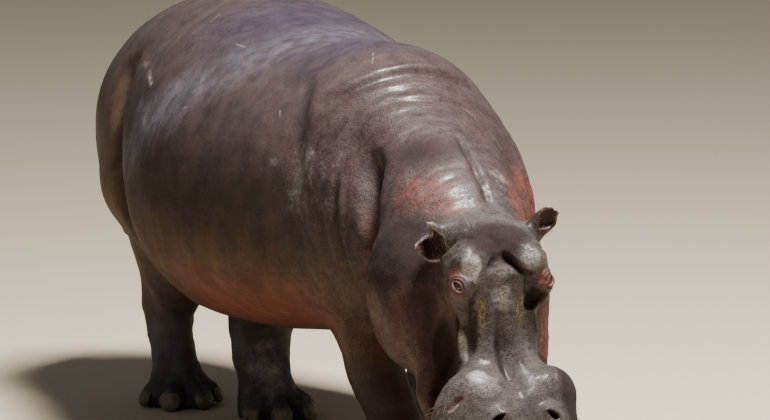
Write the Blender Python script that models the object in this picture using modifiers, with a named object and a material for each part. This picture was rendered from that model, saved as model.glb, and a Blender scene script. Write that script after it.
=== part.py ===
"""Life-size hippopotamus that walks with its head carried low, as separate solids.

The animal faces -Y with +Z up, so its left side is +X.  Shapes are described in body terms, which are
(forward, left, height) in metres, and the head in its own terms, which are (along the snout, left, above
the face).  Every fleshy mass is a loft or an ellipsoid.  They are fused into one body, relaxed, creased,
thinned to a moderate number of faces and then parted into the pieces that a person would name.  Eyes,
ears, tail and toenails are solids of their own, each set in a pocket of the body.
"""

import math

import bmesh
import bpy
import numpy as np
from mathutils import Matrix, Vector
from mathutils.bvhtree import BVHTree

GAP = 0.0004  # clearance between two neighbouring solids
TRUNK_VOXEL = 0.030  # cell size at which the large masses are fused
BODY_VOXEL = 0.015  # cell size at which the head, legs and toes join them
HEAD_TRIANGLES = 1700
BODY_TRIANGLES = 2240
SECTION_SIDES = 40  # points round a loft's section
STEPS_BETWEEN_ROWS = 3  # sections made for each row of a table
SMOOTHING = 0.5  # share of the way to its neighbours' middle that a point moves in a round
STEP_BACK = 0.48  # the same for the step back that keeps the girth of thin parts
TRUNK_ROUNDS = 60
BODY_ROUNDS = 40
CREASE_ROUNDS = 10

# ---------------------------------------------------------------- trunk and neck
# Trunk sections from rump to chest: forward, left, height of the back, height of the belly, half width,
# height of the widest line, fullness above it
TRUNK = (
    (-2.00, 0.00, 1.06, 0.90, 0.11, 0.98, 2.00),
    (-1.94, 0.00, 1.22, 0.78, 0.25, 0.97, 2.00),
    (-1.84, 0.00, 1.345, 0.66, 0.34, 0.95, 2.05),
    (-1.68, 0.00, 1.435, 0.58, 0.405, 0.92, 2.10),
    (-1.46, 0.00, 1.485, 0.51, 0.46, 0.89, 2.10),
    (-1.20, 0.00, 1.505, 0.44, 0.56, 0.86, 2.05),
    (-0.95, -0.01, 1.495, 0.40, 0.61, 0.83, 2.05),
    (-0.68, -0.04, 1.445, 0.40, 0.595, 0.82, 1.95),
    (-0.42, -0.055, 1.435, 0.43, 0.53, 0.83, 1.92),
    (-0.15, -0.05, 1.465, 0.49, 0.48, 0.88, 2.05),
    (0.08, -0.085, 1.38, 0.55, 0.35, 0.89, 2.00),
    (0.25, -0.10, 1.275, 0.61, 0.285, 0.93, 1.95),
    (0.36, -0.11, 1.17, 0.70, 0.20, 0.96, 2.00),
)
TRUNK_FULLNESS_BELOW = 2.15
# Neck sections: forward, left, height, half width, reach above, reach below, pitch in degrees
NECK = (
    (-0.10, -0.04, 0.98, 0.36, 0.39, 0.36, 5),
    (0.10, -0.09, 0.97, 0.33, 0.335, 0.36, 16),
    (0.27, -0.11, 0.94, 0.31, 0.31, 0.36, 30),
    (0.42, -0.133, 0.88, 0.285, 0.30, 0.36, 42),
    (0.54, -0.15, 0.80, 0.265, 0.27, 0.34, 55),
    (0.62, -0.165, 0.73, 0.24, 0.24, 0.30, 64),
)
# Extra masses on both sides: forward, left, height, and the three radii
TRUNK_MASSES = (
    (-1.56, 0.18, 0.98, 0.37, 0.27, 0.38),  # croup
    (-0.02, 0.24, 0.86, 0.26, 0.17, 0.36),  # shoulder blade
)

# ---------------------------------------------------------------- head
# The head's own frame: place of the crown between the ears, pitch below the horizon and turn to the right
CROWN = (0.81, -0.17, 0.98)
HEAD_PITCH = 66.0
HEAD_TURN = 5.0
# Upper head, crown to nose: along the snout, half width, top, underside
UPPER_HEAD = (
    (-0.07, 0.13, -0.06, -0.30),
    (0.00, 0.165, -0.01, -0.32),
    (0.08, 0.175, 0.01, -0.32),
    (0.16, 0.165, 0.010, -0.30),
    (0.24, 0.145, -0.025, -0.28),
    (0.33, 0.130, -0.055, -0.26),
    (0.41, 0.135, -0.055, -0.24),
    (0.48, 0.165, -0.020, -0.23),
    (0.55, 0.205, 0.010, -0.23),
    (0.62, 0.228, 0.015, -0.24),
    (0.69, 0.223, 0.000, -0.24),
    (0.74, 0.190, -0.030, -0.22),
    (0.77, 0.125, -0.070, -0.18),
)
UPPER_HEAD_FULLNESS = 2.6
# Lower jaw, angle to chin: along the snout, half width, top, underside
LOWER_JAW = (
    (0.00, 0.21, -0.22, -0.44),
    (0.10, 0.24, -0.18, -0.48),
    (0.22, 0.245, -0.16, -0.48),
    (0.34, 0.225, -0.17, -0.44),
    (0.46, 0.205, -0.18, -0.40),
    (0.57, 0.200, -0.19, -0.38),
    (0.66, 0.190, -0.20, -0.36),
    (0.72, 0.15, -0.22, -0.33),
)
LOWER_JAW_FULLNESS = 2.4
# Masses of the head: along, left, above, and the three radii; both sides get one
HEAD_MASSES = (
    (0.105, 0.090, -0.030, 0.095, 0.082, 0.080),  # brow behind the eye
    (0.172, 0.115, -0.045, 0.078, 0.068, 0.076),  # eye mound
    (0.535, 0.118, -0.085, 0.105, 0.112, 0.092),  # tusk bulge of the muzzle
    (0.66, 0.085, -0.025, 0.08, 0.058, 0.058),  # nostril mound
)
# The jowls bunch up on the inside of the neck's bend: along, left, above, and the three radii
JOWLS = (
    (0.12, -0.175, -0.32, 0.26, 0.14, 0.19),
    (0.10, 0.150, -0.33, 0.25, 0.13, 0.18),
)

# ---------------------------------------------------------------- legs
# Height, share of the way from foot to hip, bend forward, half size fore and aft, half size sideways
HIND_LEG = (
    (1.00, 1.00, 0.00, 0.30, 0.15),
    (0.84, 0.86, 0.04, 0.31, 0.185),
    (0.64, 0.66, 0.06, 0.25, 0.165),
    (0.47, 0.44, 0.00, 0.165, 0.125),
    (0.35, 0.27, -0.05, 0.122, 0.094),
    (0.23, 0.12, -0.04, 0.092, 0.079),
    (0.14, 0.03, -0.01, 0.088, 0.080),
    (0.07, 0.00, 0.00, 0.105, 0.104),
    (-0.03, 0.00, 0.00, 0.114, 0.115),
)
FRONT_LEG = (
    (0.90, 1.00, 0.02, 0.20, 0.11),
    (0.74, 0.96, 0.00, 0.19, 0.135),
    (0.56, 0.80, -0.005, 0.138, 0.115),
    (0.43, 0.58, 0.00, 0.110, 0.098),
    (0.31, 0.37, 0.00, 0.098, 0.092),
    (0.20, 0.18, 0.00, 0.082, 0.084),
    (0.13, 0.06, 0.00, 0.086, 0.088),
    (0.07, 0.00, 0.00, 0.108, 0.108),
    (-0.03, 0.00, 0.00, 0.118, 0.120),
)
UPPER_ROWS = 5  # rows of a leg's table that melt into the trunk
# name: (profile, hip or shoulder, foot on the ground, turn of the toes to the left in degrees)
LEGS = {
    "leg_hind_right": (HIND_LEG, (-1.48, -0.25), (-1.56, -0.165), -12),
    "leg_hind_left": (HIND_LEG, (-1.50, 0.25), (-1.18, 0.01), 12),
    "leg_front_right": (FRONT_LEG, (-0.02, -0.28), (0.23, -0.15), -6),
    "leg_front_left": (FRONT_LEG, (-0.10, 0.27), (-0.30, 0.10), 6),
}
SEAM_TOP = 0.75  # height up to which a leg's own piece keeps its girth
SEAM_CAP = 0.06  # height of the rounded top above that
SEAM_MARGIN = 0.035  # how far the seam round a leg stands off the leg's own loft
SEAM_CAP_SHARE = 0.4  # how wide that top is
SEAM_SIDES = 12
SEAM_AT_FOOT = 0.195  # half size of the seam's loft round the toes
ANKLE_HEIGHT = 0.2
TOES = ((-64, 0.94), (-22, 1.06), (22, 1.06), (64, 0.94))  # turn in degrees and relative size
TOE_REACH = 0.108
TOE_RADII = (0.050, 0.038, 0.050)
TOE_HEIGHT = 0.036
NAIL_RADII = (0.024, 0.034, 0.034)
NAIL_REACH = 0.036  # from a toe's centre to its nail's
NAIL_HEIGHT = 0.037
NAIL_FACETS = (6, 4)

# ---------------------------------------------------------------- eyes, ears and tail
EYE_PLACE = (0.180, 0.150, 0.006)  # along, left, above
EYE_RADIUS = 0.021
EYE_FACETS = (12, 6)  # round the axis and along it
# Ears: root in the head's frame, then in body terms the way the tip points and the way the cup opens
EARS = {
    "ear_right": ((0.015, -0.155, -0.045), (0.22, -0.93, -0.30), (0.93, 0.15, -0.30)),
    "ear_left": ((0.005, 0.155, -0.050), (0.05, 0.62, 0.78), (0.75, 0.60, -0.30)),
}
EAR_LENGTH = 0.125
EAR_WIDTH = 0.130
EAR_DEPTH = 0.062
EAR_WALL = 0.009
EAR_REACH = 0.75  # share of the ear's half length that its middle stands off the root
EAR_HOLLOW_SHIFT = (0.006, 0.0144)  # of the hollow's middle, towards the tip and out of the cup
EAR_FACETS = (12, 7)
# Tail from root to tip: forward, left, height, half size sideways, half size fore and aft
TAIL = (
    (-1.90, 0.00, 1.13, 0.070, 0.050),
    (-2.00, 0.00, 1.06, 0.062, 0.045),
    (-2.045, 0.00, 0.95, 0.050, 0.032),
    (-2.055, 0.00, 0.84, 0.042, 0.022),
    (-2.05, 0.00, 0.73, 0.036, 0.015),
    (-2.04, 0.00, 0.66, 0.024, 0.010),
)
TAIL_SIDES = 12
TAIL_STEPS = 2

# ---------------------------------------------------------------- folds and seams
# Folds pressed into the body: depth, half width, and points (forward, left, height) for the right side
FOLDS = (
    # flank fold between the barrel and the thigh
    (0.042, 0.075, ((-1.42, -0.42, 1.16), (-1.34, -0.46, 1.03), (-1.26, -0.49, 0.91), (-1.18, -0.49, 0.79),
                    (-1.10, -0.46, 0.67), (-1.02, -0.38, 0.56))),
    # hollow behind the shoulder
    (0.022, 0.080, ((-0.30, -0.32, 1.32), (-0.18, -0.38, 1.20), (-0.10, -0.43, 1.02), (-0.16, -0.46, 0.84))),
    # valley between the neck and the shoulder
    (0.040, 0.055, ((0.18, -0.33, 1.16), (0.28, -0.36, 1.03), (0.36, -0.37, 0.90), (0.33, -0.34, 0.74))),
)
# Folds of the head: depth, half width, and points (along, left, above) for the right side
HEAD_FOLDS = (
    # mouth, from its corner under the eye to the chin
    (0.022, 0.028, ((0.26, -0.20, -0.11), (0.32, -0.19, -0.155), (0.39, -0.19, -0.185), (0.44, -0.20, -0.21),
                    (0.50, -0.22, -0.235), (0.60, -0.22, -0.235), (0.68, -0.17, -0.235),
                    (0.71, -0.06, -0.235))),
    # groove between the nasal bulges
    (0.016, 0.030, ((0.38, 0.0, -0.05), (0.46, 0.0, -0.03), (0.54, 0.0, 0.0), (0.64, 0.0, 0.0))),
)
# Seams: a point (forward, height) on each parting plane and its pitch below the horizon in degrees
NECK_SEAM = ((0.20, 1.10), -14.0)
HEAD_SEAM = ((0.56, 0.76), 33.0)
# Profile of the lower jaw's own piece: (along, above)
JAW_SEAM = ((0.30, -0.20), (0.50, -0.225), (0.60, -0.235), (0.95, -0.235), (0.95, -0.75), (0.14, -0.75))
HEAD_REGION = (-0.05, -0.42)  # the finer region of the head: its least places along and above
BLOCK = 2.0  # size of the blocks that part the body

MATERIALS = {
    # name: (colour, roughness)
    "back_hide": ((0.110, 0.083, 0.082), 0.42),
    "neck_hide": ((0.165, 0.125, 0.118), 0.45),
    "head_hide": ((0.185, 0.165, 0.160), 0.40),
    "jaw_hide": ((0.230, 0.150, 0.130), 0.45),
    "leg_hide": ((0.120, 0.095, 0.090), 0.50),
    "ear_hide": ((0.330, 0.150, 0.110), 0.45),
    "tail_hide": ((0.105, 0.080, 0.078), 0.50),
    "toenail": ((0.200, 0.185, 0.130), 0.45),
    "eye_brown": ((0.060, 0.030, 0.018), 0.08),
}


def body(forward, left, height):
    """World point of a place given in body terms."""
    return Vector((left, -forward, height))


def head_matrix():
    """Matrix from the head's frame (along, left, above) to the world."""
    pitch, turn = math.radians(HEAD_PITCH), math.radians(HEAD_TURN)
    ahead = Vector((-math.sin(turn), -math.cos(turn), 0))
    up = Vector((0, 0, 1))
    along = ahead * math.cos(pitch) - up * math.sin(pitch)
    above = ahead * math.sin(pitch) + up * math.cos(pitch)
    axes = Matrix((along, along.cross(above) * -1, above)).transposed().to_4x4()
    return Matrix.Translation(body(*CROWN)) @ axes


def clear_scene():
    for obj in list(bpy.data.objects):
        bpy.data.objects.remove(obj)


def material(name):
    colour, roughness = MATERIALS[name]
    made = bpy.data.materials.new(name)
    made.use_nodes = True
    shader = made.node_tree.nodes["Principled BSDF"]
    shader.inputs["Base Color"].default_value = (*colour, 1)
    shader.inputs["Roughness"].default_value = roughness
    shader.inputs["Metallic"].default_value = 0
    return made


# ---------------------------------------------------------------- meshes
def object_from(name, bm):
    """Object with the bmesh's shape, its faces turned outwards."""
    bmesh.ops.recalc_face_normals(bm, faces=bm.faces)
    if bm.calc_volume(signed=True) < 0:
        bmesh.ops.reverse_faces(bm, faces=bm.faces)
    mesh = bpy.data.meshes.new(name)
    bm.to_mesh(mesh)
    bm.free()
    obj = bpy.data.objects.new(name, mesh)
    bpy.context.scene.collection.objects.link(obj)
    return obj


def section(centre, side, up, half_width, reach_up, reach_down, fullness=2.0, fullness_below=None,
            sides=SECTION_SIDES):
    """Points of one egg-shaped section: half an ellipse above the widest line and another below it."""
    ring = []
    for i in range(sides):
        a = 2 * math.pi * i / sides
        c, s = math.cos(a), math.sin(a)
        power = 2.0 / (fullness if s > 0 else fullness_below or fullness)
        across = math.copysign(abs(c) ** power, c) * half_width
        rise = math.copysign(abs(s) ** power, s) * (reach_up if s > 0 else reach_down)
        ring.append(centre + side * across + up * rise)
    return ring


def loft(name, rings):
    """Closed tube through the rings, with a flat end at each side."""
    bm = bmesh.new()
    rows = [[bm.verts.new(point) for point in ring] for ring in rings]
    for row, following in zip(rows, rows[1:]):
        for i, vertex in enumerate(row):
            bm.faces.new((vertex, row[i - 1], following[i - 1], following[i]))
    bm.faces.new(rows[0])
    bm.faces.new(rows[-1])
    return object_from(name, bm)


def smooth_rows(rows, steps=STEPS_BETWEEN_ROWS):
    """Rows of numbers with more rows between them, on smooth curves through the given ones."""
    table = np.array(rows, float)
    ends = np.vstack([2 * table[0] - table[1], table, 2 * table[-1] - table[-2]])
    made = []
    for before, here, there, after in zip(ends, ends[1:], ends[2:], ends[3:]):
        for t in np.arange(steps) / steps:
            bend = 2 * before - 5 * here + 4 * there - after
            twist = 3 * here - before - 3 * there + after
            made.append(here + 0.5 * ((there - before) * t + bend * t**2 + twist * t**3))
    return made + [table[-1]]


def ellipsoid(name, centre, radii, axes=None, around=32, rings=20):
    bm = bmesh.new()
    bmesh.ops.create_uvsphere(bm, u_segments=around, v_segments=rings, radius=1.0)
    turn = (axes or Matrix.Identity(3)).to_4x4()
    bm.transform(Matrix.Translation(centre) @ turn @ Matrix.Diagonal((*radii, 1)))
    return object_from(name, bm)


def prism(name, points, sideways):
    """Solid between a flat outline and the same outline moved by a vector."""
    bm = bmesh.new()
    face = bm.faces.new([bm.verts.new(point) for point in points])
    side = bmesh.ops.extrude_face_region(bm, geom=[face])
    moved = [item for item in side["geom"] if isinstance(item, bmesh.types.BMVert)]
    bmesh.ops.translate(bm, verts=moved, vec=sideways)
    return object_from(name, bm)


def grown(obj, distance):
    """Copy of an object with its surface moved outwards."""
    bm = bmesh.new()
    bm.from_mesh(obj.data)
    bm.normal_update()
    for vertex in bm.verts:
        vertex.co += vertex.normal * distance * vertex.calc_shell_factor()
    return object_from(obj.name + "_grown", bm)


def apply_modifiers(obj):
    graph = bpy.context.evaluated_depsgraph_get()
    made = bpy.data.meshes.new_from_object(obj.evaluated_get(graph))
    obj.modifiers.clear()
    obj.data = made


def boolean(obj, cutter, operation):
    step = obj.modifiers.new("cut", "BOOLEAN")
    step.operation = operation
    step.solver = "EXACT"
    step.object = cutter
    apply_modifiers(obj)
    keep_largest(obj)


def keep_largest(obj):
    """Drops crumbs that a cut leaves, so that one closed body stays."""
    bm = bmesh.new()
    bm.from_mesh(obj.data)
    unseen = set(bm.verts)
    groups = []
    while unseen:
        group, edge_of_group = set(), {unseen.pop()}
        while edge_of_group:
            group |= edge_of_group
            reached = {e.other_vert(v) for v in edge_of_group for e in v.link_edges}
            edge_of_group = reached - group
        unseen -= group
        groups.append(group)
    groups.sort(key=len)
    for group in groups[:-1]:
        bmesh.ops.delete(bm, geom=list(group), context="VERTS")
    bmesh.ops.triangulate(bm, faces=bm.faces)
    bm.to_mesh(obj.data)
    bm.free()


def split(obj, name, cutter):
    """Takes what lies inside the cutter off an object, as an object of its own with a gap between them."""
    piece = obj.copy()
    piece.data = obj.data.copy()
    piece.name = name
    bpy.context.scene.collection.objects.link(piece)
    wider = grown(cutter, GAP)
    boolean(piece, cutter, "INTERSECT")
    boolean(obj, wider, "DIFFERENCE")
    bpy.data.objects.remove(wider)
    bpy.data.objects.remove(cutter)
    return piece


def set_in(obj, piece):
    """Cuts a pocket in an object, a gap wider than the piece that sits in it."""
    pocket = grown(piece, GAP)
    boolean(obj, pocket, "DIFFERENCE")
    bpy.data.objects.remove(pocket)


# ---------------------------------------------------------------- relaxing and creasing
def points_of(obj):
    found = np.empty(len(obj.data.vertices) * 3)
    obj.data.vertices.foreach_get("co", found)
    return found.reshape(-1, 3)


def set_points(obj, places):
    obj.data.vertices.foreach_set("co", places.ravel())
    obj.data.update()


def normals_of(obj):
    found = np.empty(len(obj.data.vertices) * 3)
    obj.data.vertex_normals.foreach_get("vector", found)
    return found.reshape(-1, 3)


def relax(obj, rounds, step_back=STEP_BACK):
    """Evens out the surface; every second round steps back, so that thin parts keep their girth."""
    places = points_of(obj)
    edges = np.empty(len(obj.data.edges) * 2, np.int64)
    obj.data.edges.foreach_get("vertices", edges)
    a, b = edges.reshape(-1, 2).T
    count = np.bincount(np.concatenate([a, b]), minlength=len(places))[:, None]
    for turn in range(rounds):
        total = np.empty_like(places)
        for axis in range(3):
            near_a = np.bincount(a, places[b, axis], len(places))
            total[:, axis] = near_a + np.bincount(b, places[a, axis], len(places))
        step = -step_back if turn % 2 else SMOOTHING
        places += step * (total / count - places)
    set_points(obj, places)


def press(obj, line, width, depth):
    """Presses a rounded groove into the surface along a line of world points."""
    corners = [vertex.co for vertex in obj.data.vertices]
    surface = BVHTree.FromPolygons(corners, [face.vertices for face in obj.data.polygons])
    track = np.array([surface.find_nearest(Vector(point))[0] for point in smooth_rows(line, 8)])
    places = points_of(obj)
    nearest = np.full(len(places), np.inf)
    for start, end in zip(track, track[1:]):
        way = end - start
        t = np.clip(((places - start) @ way) / max(way @ way, 1e-12), 0, 1)[:, None]
        nearest = np.minimum(nearest, np.linalg.norm(places - start - t * way, axis=1))
    amount = depth * np.exp(-((nearest / width) ** 2))
    set_points(obj, places - normals_of(obj) * amount[:, None])


def fuse(objects, voxel):
    """One closed body out of overlapping ones."""
    bm = bmesh.new()
    for obj in objects:
        bm.from_mesh(obj.data)
        bpy.data.objects.remove(obj)
    whole = object_from("trunk", bm)
    remesh = whole.modifiers.new("fuse", "REMESH")
    remesh.mode = "VOXEL"
    remesh.voxel_size = voxel
    apply_modifiers(whole)
    return whole


# ---------------------------------------------------------------- masses
def make_trunk():
    rings = []
    for forward, left, top, bottom, half_width, widest, fullness in smooth_rows(TRUNK):
        centre = body(forward, left, widest)
        shape = (half_width, top - widest, widest - bottom, fullness, TRUNK_FULLNESS_BELOW)
        rings.append(section(centre, Vector((1, 0, 0)), Vector((0, 0, 1)), *shape))
    return loft("trunk_mass", rings)


def make_neck():
    rings = []
    for forward, left, height, half_width, above, below, pitch in smooth_rows(NECK):
        tilt = math.radians(pitch)
        up = body(math.sin(tilt), 0, math.cos(tilt))
        rings.append(section(body(forward, left, height), Vector((1, 0, 0)), up, half_width, above, below))
    return loft("neck_mass", rings)


def make_head_loft(name, rows, fullness):
    frame = head_matrix()
    side, up = frame.col[1].xyz, frame.col[2].xyz
    rings = []
    for along, half_width, top, bottom in smooth_rows(rows):
        middle = (top + bottom) / 2
        centre = frame @ Vector((along, 0, middle))
        rings.append(section(centre, side, up, half_width, top - middle, middle - bottom, fullness))
    return loft(name, rings)


def make_leg(name, profile, hip, foot, sides=SECTION_SIDES, steps=STEPS_BETWEEN_ROWS):
    """Loft down a leg, each section square to the leg's own line."""
    rows = []
    for height, share, bend, fore_aft, sideways in smooth_rows(profile, steps):
        forward = foot[0] + (hip[0] - foot[0]) * share + bend
        left = foot[1] + (hip[1] - foot[1]) * share
        rows.append((body(forward, left, height), fore_aft, sideways))
    rings = []
    for before, (centre, fore_aft, sideways), after in zip(rows[:1] + rows, rows, rows[1:] + rows[-1:]):
        line = (after[0] - before[0]).normalized()
        side = (Vector((1, 0, 0)) - line * line.x).normalized()
        rings.append(section(centre, side, side.cross(line), sideways, fore_aft, fore_aft, sides=sides))
    return loft(name, rings)


def foot_axes(turn):
    """Axes of a foot or toe: where it points, its left and up, as the columns of a matrix."""
    a = math.radians(turn)
    ahead = body(math.cos(a), math.sin(a), 0)
    return Matrix((ahead, Vector((0, 0, 1)).cross(ahead), Vector((0, 0, 1)))).transposed()


def toe_places(foot, turn):
    """Axes, centre and size of each toe of a foot; the middle toes are larger and reach further."""
    for angle, size in TOES:
        axes = foot_axes(turn + angle)
        yield axes, body(*foot, TOE_HEIGHT) + axes.col[0] * TOE_REACH * size, size


def make_toes(name, foot, turn):
    made = []
    for number, (axes, centre, size) in enumerate(toe_places(foot, turn)):
        made.append(ellipsoid(f"{name}_toe_{number}", centre, [r * size for r in TOE_RADII], axes))
    return made


def make_flesh():
    """The whole animal but its ears, eyes, tail and nails, as one closed body."""
    masses = [make_trunk(), make_neck()]
    for forward, left, height, *radii in TRUNK_MASSES:
        for sign in (-1, 1):
            along, sideways, upwards = radii
            place = body(forward, sign * left, height)
            masses.append(ellipsoid("mass", place, (sideways, along, upwards)))
    for name, (profile, hip, foot, _) in LEGS.items():
        masses.append(make_leg(name + "_top", profile[:UPPER_ROWS], hip, foot))
    trunk = fuse(masses, TRUNK_VOXEL)
    relax(trunk, TRUNK_ROUNDS, -SMOOTHING)

    masses = [trunk]
    masses.append(make_head_loft("upper_head_mass", UPPER_HEAD, UPPER_HEAD_FULLNESS))
    masses.append(make_head_loft("lower_jaw_mass", LOWER_JAW, LOWER_JAW_FULLNESS))
    frame = head_matrix()
    pairs = [(m[0], sign * m[1], *m[2:]) for m in HEAD_MASSES for sign in (-1, 1)]
    for along, left, above, *radii in pairs + list(JOWLS):
        masses.append(ellipsoid("mass", frame @ Vector((along, left, above)), radii, frame.to_3x3()))
    for name, (profile, hip, foot, turn) in LEGS.items():
        masses.append(make_leg(name, profile[UPPER_ROWS - 3 :], hip, foot))
        masses += make_toes(name, foot, turn)
    whole = fuse(masses, BODY_VOXEL)
    relax(whole, BODY_ROUNDS)
    press_folds(whole, frame)
    relax(whole, CREASE_ROUNDS)
    return whole


def press_folds(whole, frame):
    for depth, width, line in FOLDS:
        for sign in (1, -1):
            press(whole, [body(p, sign * q, z) for p, q, z in line], width, depth)
    for depth, width, line in HEAD_FOLDS:
        for sign in (1, -1) if any(left for _, left, _ in line) else (1,):
            press(whole, [frame @ Vector((t, sign * l, n)) for t, l, n in line], width, depth)


def triangle_count(faces):
    return sum(len(face.vertices) - 2 for face in faces)


def thin(whole, belongs, wanted):
    """Fewer faces in one region, where belongs(place) is true, and none lost elsewhere."""
    chosen = [v.index for v in whole.data.vertices if belongs(v.co)]
    group = whole.vertex_groups.new(name="region")
    group.add(chosen, 1.0, "REPLACE")
    inside = set(chosen)
    triangles = triangle_count(face for face in whole.data.polygons if inside.issuperset(face.vertices))
    total = triangle_count(whole.data.polygons)
    step = whole.modifiers.new("thin", "DECIMATE")
    step.vertex_group = group.name
    step.ratio = (total - triangles + wanted) / total
    apply_modifiers(whole)
    whole.vertex_groups.clear()


# ---------------------------------------------------------------- pieces set in the body
def make_eye(name, sign):
    frame = head_matrix()
    along, left, above = EYE_PLACE
    centre = frame @ Vector((along, sign * left, above))
    return ellipsoid(name, centre, [EYE_RADIUS] * 3, frame.to_3x3(), *EYE_FACETS)


def make_ear(name, root, tip, opening):
    """Shallow cup: an egg with a smaller egg taken out of the side it opens to."""
    long_axis = body(*tip).normalized()
    across = long_axis.cross(body(*opening)).normalized()
    open_axis = across.cross(long_axis)
    axes = Matrix((long_axis, across, open_axis)).transposed()
    half = Vector((EAR_LENGTH, EAR_WIDTH, EAR_DEPTH)) / 2
    centre = head_matrix() @ Vector(root) + long_axis * half.x * EAR_REACH
    ear = ellipsoid(name, centre, half, axes, *EAR_FACETS)
    middle = centre + long_axis * EAR_HOLLOW_SHIFT[0] + open_axis * EAR_HOLLOW_SHIFT[1]
    hollow = ellipsoid("hollow", middle, half - Vector((EAR_WALL, EAR_WALL, 0)), axes, *EAR_FACETS)
    boolean(ear, hollow, "DIFFERENCE")
    bpy.data.objects.remove(hollow)
    return ear


def make_tail():
    rings = []
    for forward, left, height, sideways, fore_aft in smooth_rows(TAIL, TAIL_STEPS):
        centre = body(forward, left, height)
        shape = (sideways, fore_aft, fore_aft)
        rings.append(section(centre, Vector((1, 0, 0)), Vector((0, 1, 0)), *shape, sides=TAIL_SIDES))
    return loft("tail", rings)


def make_nails(leg, foot, turn):
    made = []
    for number, (axes, centre, size) in enumerate(toe_places(foot, turn), 1):
        place = Vector((centre.x, centre.y, NAIL_HEIGHT)) + axes.col[0] * NAIL_REACH * size
        name = leg.replace("leg_", "nail_") + f"_{number}"
        made.append(ellipsoid(name, place, [r * size for r in NAIL_RADII], axes, *NAIL_FACETS))
    return made


# ---------------------------------------------------------------- parting
def leg_cutter(name, profile, hip, foot):
    """Loft that stands off a leg all round: its side is the seam between the leg and the trunk."""
    rows = []
    for height, share, bend, fore_aft, sideways in profile:
        if height > SEAM_TOP:
            continue
        at_foot = height < ANKLE_HEIGHT
        sizes = [SEAM_AT_FOOT if at_foot else size + SEAM_MARGIN for size in (fore_aft, sideways)]
        rows.append((height, share, bend, *sizes))
    height, share, bend, fore_aft, sideways = rows[0]
    rows.insert(0, (height + SEAM_CAP, share, bend, fore_aft * SEAM_CAP_SHARE, sideways * SEAM_CAP_SHARE))
    height, *shape = rows[-1]
    rows.append((height - SEAM_AT_FOOT, *shape))
    return make_leg(name, rows, hip, foot, sides=SEAM_SIDES, steps=1)


def seam_cutter(name, seam):
    """Large block ahead of a parting plane."""
    (forward, height), pitch = seam
    p = math.radians(pitch)
    point = body(forward, 0, height)
    ahead = body(math.cos(p), 0, -math.sin(p))
    along = body(math.sin(p), 0, math.cos(p))
    near_edge = [point + along * BLOCK, point - along * BLOCK]
    far_edge = [corner + ahead * BLOCK for corner in reversed(near_edge)]
    aside = Vector((BLOCK, 0, 0))
    return prism(name, [corner - aside / 2 for corner in near_edge + far_edge], aside)


def jaw_cutter():
    frame = head_matrix()
    outline = [frame @ Vector((along, -BLOCK / 2, above)) for along, above in JAW_SEAM]
    return prism("jaw_cutter", outline, frame.to_3x3() @ Vector((0, BLOCK, 0)))


def flatten_soles(flesh):
    corners = ((-1, -1), (1, -1), (1, 1), (-1, 1))
    outline = [Vector((x * BLOCK, y * BLOCK, -BLOCK)) for x, y in corners]
    ground = prism("ground", outline, Vector((0, 0, BLOCK)))
    boolean(flesh, ground, "DIFFERENCE")
    bpy.data.objects.remove(ground)


def finish(obj, finish_of_piece, collection):
    obj.data.materials.clear()
    obj.data.materials.append(finish_of_piece)
    for old in obj.users_collection:
        old.objects.unlink(obj)
    collection.objects.link(obj)
    obj.data.name = obj.name


def centre_on_origin(objects):
    """Puts the middle of the animal's box over the origin, its soles on the ground."""
    places = np.vstack([points_of(obj) for obj in objects])
    middle = (places.min(axis=0) + places.max(axis=0)) / 2
    for obj in objects:
        obj.data.transform(Matrix.Translation((-middle[0], -middle[1], 0)))


def make_thinned_flesh():
    flesh = make_flesh()
    into_head = head_matrix().inverted()
    least_along, least_above = HEAD_REGION

    def in_head(place):
        along, _, above = into_head @ place
        return along > least_along and above > least_above

    thin(flesh, lambda place: not in_head(place), BODY_TRIANGLES)
    thin(flesh, in_head, HEAD_TRIANGLES)
    flatten_soles(flesh)
    return flesh


def make_pieces():
    """All the solids, in lists under the names of their finishes."""
    flesh = make_thinned_flesh()
    pieces = {
        "tail_hide": [make_tail()],
        "toenail": [nail for name, (_, _, *place) in LEGS.items() for nail in make_nails(name, *place)],
        "eye_brown": [make_eye("eye_right", -1), make_eye("eye_left", 1)],
        "ear_hide": [make_ear(name, *places) for name, places in EARS.items()],
    }
    for piece in [piece for several in pieces.values() for piece in several]:
        set_in(flesh, piece)

    pieces["leg_hide"] = []
    for name, (profile, hip, foot, _) in LEGS.items():
        pieces["leg_hide"].append(split(flesh, name, leg_cutter(name + "_cutter", profile, hip, foot)))
    head = split(flesh, "head", seam_cutter("head_cutter", HEAD_SEAM))
    pieces["jaw_hide"] = [split(head, "lower_jaw", jaw_cutter())]
    pieces["head_hide"] = [head]
    pieces["neck_hide"] = [split(flesh, "neck", seam_cutter("neck_cutter", NECK_SEAM))]
    pieces["back_hide"] = [flesh]
    return pieces


def main():
    clear_scene()
    collection = bpy.data.collections.new("hippopotamus")
    bpy.context.scene.collection.children.link(collection)
    for material_name, objects in make_pieces().items():
        made = material(material_name)
        for obj in objects:
            finish(obj, made, collection)
    centre_on_origin(list(collection.objects))


if __name__ == "__main__":
    main()
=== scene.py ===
"""Life-size hippopotamus, walking with its head carried low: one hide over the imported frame.

The hide is cast from copies of the flesh nodes, fused, eased and refined.  Folds are then drawn into it
along lines, and lids, nostrils and ears are grown on holes cut in it, so that it stays one closed skin.
Eyes, toenails and bristles are pieces of their own.
"""

import logging
import math
import random
from dataclasses import dataclass, field
from enum import Enum
from typing import Callable, Iterable, Sequence

import bmesh
import bpy
import numpy as np
from mathutils import Matrix, Vector, noise
from mathutils.bvhtree import BVHTree


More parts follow.
